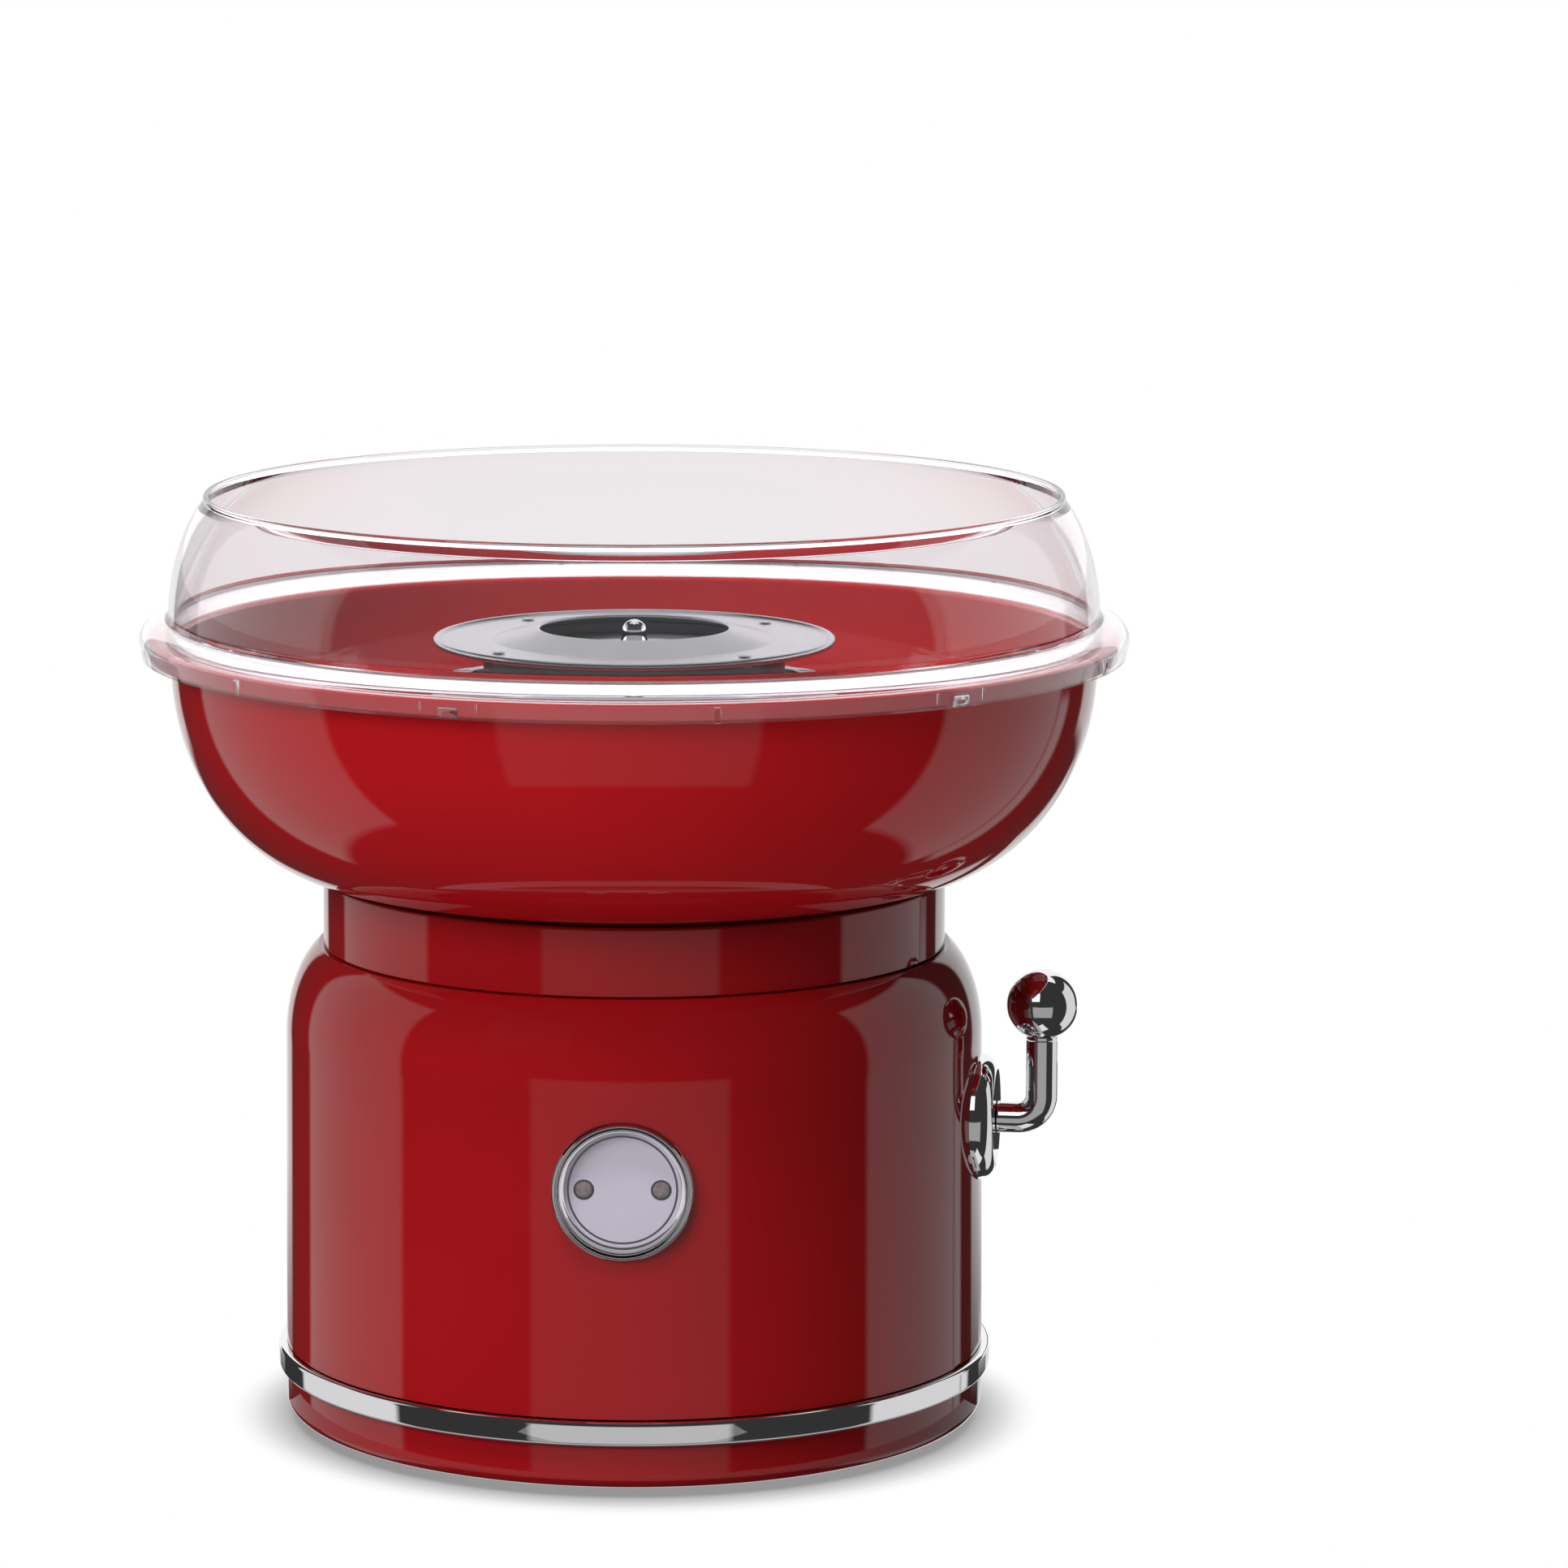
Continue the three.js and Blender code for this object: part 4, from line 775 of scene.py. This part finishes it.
SCREW_SEAT = 21.7  # height of the screws' heads in their pillars
PILLAR_TOP = 35.7
BEZEL_BARREL = 19  # radii of what goes through the casing's side
ROSETTE_BARREL = 7
GLAND_BARREL = 6


def casing_radius(height):
    """Radius of the casing's side, which narrows slightly towards the shoulder."""
    return BODY - (BODY - BODY_TOP) * (height - BAND_TOP) / (SHOULDER_LOW - BAND_TOP)


def casing_outline(grow, top, steps):
    """The casing's side up to a height on its shoulder, grown or shrunk evenly."""
    centre = (BODY_TOP - SHOULDER[0], SHOULDER_LOW)
    half_axes = (SHOULDER[0] + grow, SHOULDER[1] + grow)
    turn = math.degrees(math.asin((top - centre[1]) / half_axes[1]))
    return [(BODY + grow, BAND_TOP + SEAM)] + arc(centre, half_axes, 0, turn, steps)


def body_casing():
    inside = LEDGE - WALL
    shell = turned(
        "casing_shell",
        casing_outline(0, LEDGE, 24)
        + [(LEDGE_OPENING, LEDGE), (LEDGE_OPENING, inside)]
        + casing_outline(-WALL, inside, 12)[::-1],
    )
    holes = [
        bar("hole", radius + SEAM, BODY - 14, BODY + 10, side_frame(azimuth, height), SMALL_ROUND)
        for radius, azimuth, height in (
            (BEZEL_BARREL, DIAL_AZIMUTH, DIAL_MIDDLE),
            (ROSETTE_BARREL, LEVER_AZIMUTH, LEVER_AXLE),
            (GLAND_BARREL, GLAND_AZIMUTH, GLAND_HEIGHT),
        )
    ]
    dress(cut(shell, *holes), "body_casing")


def chrome_band():
    outer = radius_of("chrome_band")
    inner = COLLAR + SEAM
    outline = rounded([
        (inner, BAND_LOW, 0),
        (outer, BAND_LOW, 1.3),
        (outer, BAND_TOP, 1.3),
        (inner, BAND_TOP, 0),
    ], 6)
    dress(turned("band_ring", outline), "chrome_band")


def base_pan():
    rim = BAND_LOW - SEAM
    collar_top = node_box("base_pan")[1].z
    collar_inside = COLLAR - 2.2
    floor_top = BASE_LOW + 2.4
    outline = rounded([
        (0, BASE_LOW, 0),
        (BODY, BASE_LOW, 4),
        (BODY, rim, 0.5),
        (COLLAR, rim, 0),
        (COLLAR, collar_top, 0.4),
        (collar_inside, collar_top, 0.4),
        (collar_inside, floor_top, 1),
        (0, floor_top, 0),
    ], 6)
    shell = turned("base_shell", outline)
    seats = [
        bar("seat", FOOT_SEAT, BASE_LOW - 1, BASE_LOW + 2, about_axis(turn, FEET_CIRCLE), SMALL_ROUND)
        for turn in around(4, 45)
    ]
    vents = [
        block("vent", (-11, -1.5, BASE_LOW - 1), (11, 1.5, floor_top + 1), about_axis(turn, VENT_CIRCLE))
        for turn in around(8, 0)
    ]
    ways = [
        bar("way", 3.7, BASE_LOW - 1, SCREW_SEAT, about_axis(turn, SCREW_CIRCLE))
        for turn in around(3, 60)
    ]
    pillars = [
        bar("pillar", 5.4, floor_top - 1, PILLAR_TOP, about_axis(turn, SCREW_CIRCLE))
        for turn in around(3, 60)
    ]
    dress(cut(join(shell, *pillars), *seats, *vents, *ways), "base_pan")


def top_cover():
    low = LEDGE + SEAM
    neck = radius_of("top_cover")
    neck_top = LEDGE + 21
    tower = 48.6
    tower_inside = 46.2
    tower_top = node_box("top_cover")[1].z
    deck_low = 204.4  # the deck across the tower, with the shaft's hole
    deck_top = 206.8
    shaft_hole = 18
    outline = rounded([
        (neck, low, 0.4),
        (neck, neck_top, 1),
        (tower, neck_top, 0.8),
        (tower, tower_top, 0.5),
        (tower_inside, tower_top, 0.5),
        (tower_inside, deck_top, 0.5),
        (shaft_hole, deck_top, 0.4),
        (shaft_hole, deck_low, 0.4),
        (tower_inside, deck_low, 0.5),
        (tower_inside, neck_top - WALL, 0.5),
        (neck - WALL, neck_top - WALL, 0.5),
        (neck - WALL, low, 0.4),
    ])
    dress(turned("neck_and_tower", outline), "top_cover")


# Bowl and guard

RIM_TOP = node_box("bowl")[1].z
BOWL_LOW = node_box("bowl")[0].z
RIM = radius_of("bowl")
BOWL = 140.4  # outside, just under the rim
BOWL_FLAT = 86.8
BOWL_CURVE = 65.6
BOWL_WALL = 2.6
HUB_INSIDE = 49.6
HUB_OUTER = HUB_INSIDE + 6.8
HUB_FOOT = 70
RIM_DEPTH = 4.7


def bowl():
    floor = BOWL_LOW + BOWL_WALL
    curve = (BOWL_FLAT, BOWL_LOW + BOWL_CURVE)
    hub_top = RIM_TOP - 14
    hub_under = hub_top - BOWL_WALL - 1
    hub_low = node_box("head_drum")[0].z - 11.2
    inside = rounded([
        (HUB_INSIDE, hub_low, 0.4),
        (HUB_INSIDE, hub_top, 0.8),
        (HUB_OUTER, hub_top, 2),
        (HUB_FOOT, floor, 6),
        (BOWL_FLAT, floor, 0),
    ], 6)
    outside = rounded([
        (BOWL_FLAT, BOWL_LOW, 0),
        (HUB_FOOT - BOWL_WALL, BOWL_LOW, 3),
        (HUB_OUTER - BOWL_WALL, hub_under, 1.5),
        (HUB_INSIDE + BOWL_WALL, hub_under, 0.5),
        (HUB_INSIDE + BOWL_WALL, hub_low, 0.4),
    ], 6)
    rim = rounded([
        (BOWL - BOWL_WALL, RIM_TOP - 8, 0),
        (BOWL - BOWL_WALL, RIM_TOP, 1.4),
        (RIM, RIM_TOP, 0.9),
        (RIM, RIM_TOP - RIM_DEPTH, 0.5),
        (BOWL, RIM_TOP - RIM_DEPTH, 0.8),
        (BOWL, RIM_TOP - 7.6, 0),
    ])
    inner_curve = arc(curve, (BOWL - BOWL_WALL - BOWL_FLAT, BOWL_CURVE - BOWL_WALL), -90, 0, 40)
    outer_curve = arc(curve, (BOWL - BOWL_FLAT, BOWL_CURVE), 0, -90, 40)
    outline = inside[:-1] + inner_curve + rim[1:-1] + outer_curve + outside[1:]
    dress(turned("bowl_shell", outline), "bowl")


GUARD = radius_of("clear_guard")
GUARD_WALL = 1.6
GUARD_BULGE = (25.8, 45.4)  # half axes of the curve of the guard's wall
FIRST_RIB = 41  # degrees round the axis
FIRST_CLIP = 11


def clear_guard():
    low, high = node_box("clear_guard")
    skirt_low = low.z
    ridge = RIM_TOP - 0.6
    crease_radius = RIM - 5.8
    crease = RIM_TOP + 6.2
    skirt = GUARD - 0.9
    bulge_centre = (crease_radius - GUARD_BULGE[0], crease - 2)
    wall = arc(bulge_centre, GUARD_BULGE, 4, 55, 28)
    inner_bulge = (GUARD_BULGE[0] - GUARD_WALL, GUARD_BULGE[1] - GUARD_WALL)
    inner_wall = arc(bulge_centre, inner_bulge, 53, 4, 28)
    bead = 0.95
    lip = (wall[-1][0] - GUARD_WALL / 2, high.z - bead)
    flange = (crease_radius, ridge)
    outer_flange = arc(flange, (GUARD - crease_radius, crease - ridge), 0, 84, 16)
    inner_flange = arc(
        flange, (GUARD - crease_radius - GUARD_WALL, crease - ridge - GUARD_WALL), 84, 0, 12
    )
    seat = RIM_TOP + SEAM
    outline = (
        [(skirt, skirt_low)]
        + outer_flange
        + wall
        + arc(lip, (bead, bead), -20, 200, 12)
        + inner_wall
        + [(crease_radius - GUARD_WALL, seat), (crease_radius, seat)]
        + inner_flange
        + [(skirt - GUARD_WALL, skirt_low)]
    )
    shell = turned("guard_shell", outline)
    near, far = RIM + 0.35, skirt - GUARD_WALL / 2
    ribs = [
        block("rib", (near, -1, skirt_low), (far, 1, ridge), about_axis(turn), 0.2)
        for turn in around(6, FIRST_RIB)
    ]
    clips = []
    for turn in around(6, FIRST_CLIP):
        place = about_axis(turn)
        hook = block("clip", (near, -3.1, skirt_low), (far, 3.1, skirt_low + 3.4), place, 0.6)
        eye = block(
            "clip_eye",
            (near - 1, -1.7, skirt_low + 1),
            (far - 0.3, 1.7, skirt_low + 2.4),
            place,
            0.4,
        )
        clips.append(cut(hook, eye))
        clips += [
            block("clip_line", (near, y - 0.3, skirt_low), (far, y + 0.3, ridge), place, 0.1)
            for y in (-8.6, 8.6)
        ]
    dress(join(shell, *ribs, *clips), "clear_guard")


# Spinning head

DISC = radius_of("head_disc")


def head_disc():
    top = RIM_TOP - 1.6
    under = top - 0.8
    bead = (DISC - 1.15, under + 0.45)
    outline = (
        arc(bead, (1.15, 1.15), -90, 150, 14)
        + rounded([
            (DISC - 2.8, top, 0.4),
            (43, top, 1.2),
            (29.7, top + 3.5, 0.8),
            (28.3, top + 3.1, 0.3),
            (29, top + 2.6, 0.3),
            (42.6, under, 1.2),
            (DISC - 1.4, under, 0),
        ], 6)
    )
    dress(turned("disc_sheet", outline), "head_disc")


def head_drum():
    low, high = node_box("head_drum")
    inner = PAN_RADIUS
    outer = 45.8
    flange = 55.8
    bore = 3.3
    pan = PAN_LOW + 1
    outline = rounded([
        (bore, PAN_LOW, 0),
        (inner, PAN_LOW, 0.8),
        (inner, low.z, 0.2),
        (outer, low.z, 0.2),
        (outer, high.z - 1, 0.8),
        (flange, high.z - 1, 0.3),
        (flange, high.z, 0.3),
        (inner, high.z, 0.5),
        (inner, pan, 0.8),
        (bore, pan, 0),
    ])
    dress(turned("drum_sheet", outline), "head_drum")


def cap_nut():
    low, high = node_box("cap_nut")
    radius = 3.75
    bore = 3.2
    outline = (
        [(bore, low.z), (6.3, low.z), (6.5, low.z + 0.3), (6.5, low.z + 0.8), (6.2, low.z + 1.1)]
        + [(4.6, low.z + 2.2), (radius, low.z + 4.6)]
        + arc((0, high.z - radius), (radius, radius), 0, 88, 10)
        + [(0, high.z), (0, high.z - 4), (bore, high.z - 4)]
    )
    dress(turned("nut_dome", outline, SMALL_ROUND), "cap_nut")


def rivet(name):
    low, high = node_box(name)
    middle = (low + high) / 2
    top = high.z - 0.8
    head = 2
    shank = 1
    dome = 0.4
    outline = (
        [(0, low.z), (1.8, low.z), (head, low.z + 0.2), (head, low.z + 0.8), (shank, low.z + 0.8)]
        + [(shank, top), (head, top)]
        + arc((0, top), (head, dome), 12, 84, 8)
        + [(0, top + dome)]
    )
    place = Matrix.Translation((middle.x * MM, middle.y * MM, 0))
    dress(turned(name + "_head", outline, TINY_ROUND, place), name)


# Dial

DIAL_FRONT = -node_box("dial_bezel")[0].y
LAMP_RADIUS = 2.5


def dial_bezel():
    place = side_frame(DIAL_AZIMUTH, DIAL_MIDDLE)
    front = DIAL_FRONT
    # Barrel in the casing, outer edge, broad bead, narrow bead and the seat of the plate
    outline = (
        [(16.4, front - 12.5), (BEZEL_BARREL, front - 12.5), (BEZEL_BARREL, front - 6)]
        + [(20.9, front - 6)]
        + arc((20.7, front - 2.2), (0.2, 0.3), 0, 180, 6)
        + [(20.5, front - 3.4), (20.34, front - 3.4)]
        + arc((19.82, front - 1.1), (0.52, 1.1), 0, 180, 12)
        + [(19.3, front - 2.8), (19.14, front - 2.8)]
        + arc((18.8, front - 1.6), (0.34, 0.8), 0, 180, 8)
        + [(18.4, front - 3.1), (17.6, front - 3.3), (17.6, front - 6.8), (16.4, front - 6.8)]
    )
    dress(turned("bezel_ring", outline, 128, place), "dial_bezel")


def dial_plate():
    place = side_frame(DIAL_AZIMUTH, DIAL_MIDDLE)
    front = DIAL_FRONT - 5.3
    plate = turned("plate_disc", rounded([
        (0, front - 1.2, 0),
        (17.3, front - 1.2, 0.1),
        (17.3, front, 0.1),
        (0, front, 0),
    ]), 128, place)
    holes = []
    for x in (-LAMP_REACH, LAMP_REACH):
        beside = place @ Matrix.Translation((x * MM, 0, 0))
        holes.append(bar("hole", LAMP_RADIUS + SEAM, front - 3, front + 3, beside, SMALL_ROUND))
    dress(cut(plate, *holes), "dial_plate")


def dial_lens():
    place = side_frame(DIAL_AZIMUTH, DIAL_MIDDLE)
    front = DIAL_FRONT - 1.4
    lens = turned("lens_disc", rounded([
        (0, front - 1.4, 0),
        (18.3, front - 1.4, 0.1),
        (18.3, front, 0.3),
        (0, front, 0),
    ]), 128, place)
    dress(lens, "dial_lens")


def dial_lamp(name):
    low, high = node_box(name)
    x = (low.x + high.x) / 2
    back, front = -high.y, -low.y
    outline = (
        [(0, back), (LAMP_RADIUS, back), (LAMP_RADIUS, front - 1)]
        + arc((0, front - 1), (LAMP_RADIUS, 1), 5, 85, 8)
        + [(0, front)]
    )
    place = side_frame(DIAL_AZIMUTH, DIAL_MIDDLE) @ Matrix.Translation((x * MM, 0, 0))
    dress(turned(name + "_cap", outline, TINY_ROUND, place), name)


# Lever

ROSETTE_BACK = casing_radius(LEVER_AXLE)
ROSETTE_FACE = ROSETTE_BACK + 5
UPRIGHT = ROSETTE_FACE + 13.5
ROSETTE = 19.4
ROSETTE_EDGE = 5.4
ARM = 4.8
ARM_BEND = 7
ARM_RISE = 24.3
BALL = 10.8
BALL_RISE = 35.2


def lever_rosette():
    place = side_frame(LEVER_AZIMUTH, LEVER_AXLE)
    face = ROSETTE_FACE
    bore = 4.1
    outline = (
        [(bore, face - 16), (ROSETTE_BARREL, face - 16), (ROSETTE_BARREL, face - 9)]
        + [(ROSETTE, face - 9)]
        + arc((ROSETTE - ROSETTE_EDGE, face - ROSETTE_EDGE), (ROSETTE_EDGE, ROSETTE_EDGE), 0, 86, 20)
        + [(bore, face)]
    )
    dress(turned("rosette_dome", outline, 128, place), "lever_rosette")


def lever_arm():
    place = side_frame(LEVER_AZIMUTH, LEVER_AXLE)
    start = ROSETTE_FACE + SEAM
    bend = arc((ARM_BEND, UPRIGHT - ARM_BEND), (ARM_BEND, ARM_BEND), 180, 90, 20)
    path = [(0, start)] + bend + [(ARM_RISE, UPRIGHT)]
    tube = swept("arm_bar", path, ARM, SMALL_ROUND, place)
    dress(tube, "lever_arm")


def lever_ball():
    place = side_frame(LEVER_AZIMUTH, LEVER_AXLE)
    upright = Matrix.Rotation(-math.pi / 2, 4, "X")
    stand = place @ Matrix.Translation((0, 0, UPRIGHT * MM)) @ upright
    low = ARM_RISE + SEAM
    neck = ARM - 0.1
    foot = BALL_RISE - math.sqrt(BALL**2 - neck**2)
    start = -math.degrees(math.acos(neck / BALL))
    outline = (
        [(0, low), (neck, low), (neck, foot)]
        + arc((0, BALL_RISE), (BALL, BALL), start, 90, 48)[1:-1]
        + [(0, BALL_RISE + BALL)]
    )
    dress(turned("ball_knob", outline, 96, stand), "lever_ball")


for make in (
    body_casing,
    chrome_band,
    base_pan,
    top_cover,
    bowl,
    clear_guard,
    head_disc,
    head_drum,
    cap_nut,
    dial_bezel,
    dial_plate,
    dial_lens,
    lever_rosette,
    lever_arm,
    lever_ball,
):
    make()
for number in (1, 2, 3, 4):
    rivet(f"rivet_{number}")
for number in (1, 2):
    dial_lamp(f"dial_lamp_{number}")

# Nodes that keep the shape of the model get their finish as well
for name, made in frame["nodes"].items():
    made.data.materials.clear()
    made.data.materials.append(finishes[slots[name]])


# Floor, lamps and surroundings

SHADOW_REACH = 18.5  # how far the soft shadow on the floor runs from the base
SHADOW_FLOOR = 0.3  # as dark as the shadow gets
CARD_REACH = 182  # of the band's card from the machine's axis
CARD_DEPTH = 45
PANEL_EDGE = 1.2  # degrees by which a panel's edge fades to each side
DARK_STUDIO = 0.035  # between the panels
LEAST_IN_CLEAR = 0.45  # what clear pieces show between their panels
FILL = 0.05  # even light on matt surfaces


def seen_directly(tree):
    """1 for what the camera sees, also through the clear guard."""
    path = add(tree, "ShaderNodeLightPath").outputs
    return add(
        tree, "ShaderNodeMath", {0: path["Is Camera Ray"], 1: path["Is Transmission Ray"]}, operation="MAXIMUM"
    ).outputs[0]


def floor():
    side = 6.0  # metres
    mesh = bpy.data.meshes.new("floor")
    corners = [(-side, -side, 0), (side, -side, 0), (side, side, 0), (-side, side, 0)]
    mesh.from_pydata(corners, [], [(0, 1, 2, 3)])
    ground = new_piece("floor", mesh)
    ground.visible_glossy = False
    material, tree = new_material("white_floor")
    reach = add(
        tree, "ShaderNodeAmbientOcclusion", {"Distance": SHADOW_REACH * MM}, samples=16
    ).outputs["AO"]
    shade = add(tree, "ShaderNodeMath", {0: reach, 1: SHADOW_FLOOR}, operation="MAXIMUM").outputs[0]
    white = add(tree, "ShaderNodeEmission", {"Strength": shade})
    matt = add(tree, "ShaderNodeBsdfDiffuse", {"Color": linear("#8C8C8C")})
    mixed = add(tree, "ShaderNodeMixShader", {
        "Fac": seen_directly(tree),
        1: matt.outputs[0],
        2: white.outputs[0],
    })
    add(tree, "ShaderNodeOutputMaterial", {"Surface": mixed.outputs[0]})
    mesh.materials.append(material)


def reflector(name, points, faces, strength):
    """A flat card that is seen only in reflections: pale, or a dark flag at a low strength."""
    mesh = bpy.data.meshes.new(name)
    mesh.from_pydata([Vector(point) * MM for point in points], [], faces)
    material, tree = new_material(name)
    shine = add(tree, "ShaderNodeEmission", {"Strength": strength})
    add(tree, "ShaderNodeOutputMaterial", {"Surface": shine.outputs[0]})
    mesh.materials.append(material)
    flat = new_piece(name, mesh)
    for ray in ("camera", "diffuse", "transmission", "volume_scatter", "shadow"):
        setattr(flat, "visible_" + ray, False)


def card(name, inner, outer, start, end, strength):
    """A pale arc that lies on the floor round the foot and shows in the chrome band."""
    steps = 24
    turns = [math.radians(start + (end - start) * i / steps) for i in range(steps + 1)]
    points = [
        (radius * math.sin(t), -radius * math.cos(t), 1)
        for radius in (inner, outer)
        for t in turns
    ]
    faces = [(i, i + 1, i + steps + 2, i + steps + 1) for i in range(steps)]
    reflector(name, points, faces, strength)


def direction(azimuth, elevation):
    """Unit vector, with the azimuth from the front towards the lever."""
    turn, rise = math.radians(azimuth), math.radians(elevation)
    return Vector((
        math.sin(turn) * math.cos(rise),
        -math.cos(turn) * math.cos(rise),
        math.sin(rise),
    ))


def lights_only(light, receivers):
    """Keeps a lamp's light, and its mirror image, to the pieces named."""
    lit = bpy.data.collections.new(light.name + "_receivers")
    for piece in receivers:
        lit.objects.link(bpy.data.objects[piece])
    light.light_linking.receiver_collection = lit


def lamp(name, azimuth, elevation, distance, size, energy, aim=150, receivers=(), mirrored=False):
    """A square lamp aimed at a height on the axis. It lights only its receivers, if it has any,
    and shows in reflections only where that is asked for."""
    data = bpy.data.lights.new(name, "AREA")
    data.shape = "SQUARE"
    data.size = size * MM
    data.energy = energy
    light = bpy.data.objects.new(name, data)
    out = direction(azimuth, elevation)
    light.location = (out * distance + Vector((0, 0, aim))) * MM
    light.rotation_euler = out.to_track_quat("Z", "Y").to_euler()
    light.visible_glossy = mirrored
    light.visible_transmission = False
    bpy.context.collection.objects.link(light)
    if receivers:
        lights_only(light, receivers)


def band_card(name, azimuth, width, strength):
    """A straight card of light on the floor beside the foot, for the chrome band alone."""
    data = bpy.data.lights.new(name, "AREA")
    data.shape = "RECTANGLE"
    data.size = width * MM
    data.size_y = CARD_DEPTH * MM
    data.energy = 4 * strength * data.size * data.size_y  # watts that give this strength
    place = Matrix.Rotation(math.radians(azimuth), 4, "Z")
    flat = Matrix.Rotation(math.pi, 4, "X")
    light = bpy.data.objects.new(name, data)
    light.matrix_world = place @ Matrix.Translation((0, -CARD_REACH * MM, MM)) @ flat
    light.visible_transmission = False
    bpy.context.collection.objects.link(light)
    lights_only(light, ("band_ring",))


def surroundings():
    """White backdrop for the camera, and for reflections a dark studio with pale panels at the
    front, the sides, the back and overhead, given by direction. Clear pieces show it lighter."""
    world = bpy.data.worlds.new("studio")
    bpy.context.scene.world = world
    world.use_nodes = True
    world.cycles.sampling_method = "NONE"
    tree = world.node_tree
    tree.nodes.clear()
    towards = add(tree, "ShaderNodeTexCoord").outputs["Generated"]
    parts = add(tree, "ShaderNodeSeparateXYZ", {"Vector": towards}).outputs
    ahead = add(tree, "ShaderNodeMath", {0: parts["Y"], 1: -1.0}, operation="MULTIPLY").outputs[0]
    turn = add(tree, "ShaderNodeMath", {0: parts["X"], 1: ahead}, operation="ARCTAN2").outputs[0]
    rise = add(tree, "ShaderNodeMath", {0: parts["Z"]}, operation="ARCSINE").outputs[0]

    def panel(left, right, low, high, strength):
        """Light from a patch of directions, in degrees from the front and above the level."""
        total = strength
        for angle, start, end in ((turn, left, right), (rise, low, high)):
            for limit, sign in ((start, 1), (end, -1)):
                inside = add(tree, "ShaderNodeMapRange", {
                    "Value": angle,
                    "From Min": math.radians(limit - sign * PANEL_EDGE),
                    "From Max": math.radians(limit + sign * PANEL_EDGE),
                }).outputs[0]
                total = add(
                    tree, "ShaderNodeMath", {0: inside, 1: total}, operation="MULTIPLY"
                ).outputs[0]
        return total

    light = DARK_STUDIO
    for one in (
        panel(-133, -80, -47, 36, 0.74),
        panel(84, 133, -49, 33, 0.72),
        panel(133, 139, -45, -10, 0.72),
        panel(-32, 33, -34, 0, 0.36),
        panel(151, 190, -13.5, 60, 1.0),
        panel(-190, -155, -13.5, 60, 1.0),
        panel(163, 190, -45, -13.5, 1.0),
        panel(-190, -166, -45, -13.5, 1.0),
        panel(-190, 190, 78, 91, 0.95),
        panel(-190, -100, 58, 91, 0.95),
        panel(100, 190, 58, 91, 0.95),
    ):
        light = add(tree, "ShaderNodeMath", {0: one, 1: light}, operation="MAXIMUM").outputs[0]
    path = add(tree, "ShaderNodeLightPath").outputs
    sides = panel(-190, -77, -30, 60, 1.8), panel(80, 190, -30, 60, 1.8)
    clear = LEAST_IN_CLEAR
    for one in (*sides, light):
        clear = add(tree, "ShaderNodeMath", {0: one, 1: clear}, operation="MAXIMUM").outputs[0]
    strength = FILL
    # Sockets 2 and 3 of a mix node are its plain values
    for ray, seen in (("Glossy", light), ("Transmission", clear), ("Camera", 1.0)):
        strength = add(
            tree,
            "ShaderNodeMix",
            {"Factor": path[f"Is {ray} Ray"], 2: strength, 3: seen},
            data_type="FLOAT",
        ).outputs[0]
    back = add(tree, "ShaderNodeBackground", {"Color": linear("#FFFFFF"), "Strength": strength})
    add(tree, "ShaderNodeOutputWorld", {"Surface": back.outputs[0]})


LEVER_PIECES = ("rosette_dome", "arm_bar", "ball_knob")

floor()
card("card_foot", 111, 127, -90, 90, 0.42)
reflector(
    "flag_right",
    [(100, 290, 21), (262, 248, 21), (262, 248, 53), (100, 290, 53)],
    [(0, 1, 2, 3)],
    0.04,
)
# Each lamp has its azimuth and elevation, its distance and side, and its watts
lamp("key", -35, 30, 2200, 1100, 34.5)
lamp("top", -20, 74, 2000, 900, 60)
lamp("bounce_left", -18, -9, 1000, 500, 4.6, aim=200, receivers=("bowl_shell",))
lamp("bounce_right", 62, -9, 1000, 500, 2.6, aim=200, receivers=("bowl_shell",))
band_card("band_front", 1.5, 151, 0.13)
lamp("lever_floor", 62, -52, 215, 70, 0.012, receivers=LEVER_PIECES, mirrored=True)
lamp("lever_window", -10, 30, 500, 240, 0.23, receivers=LEVER_PIECES, mirrored=True)
surroundings()
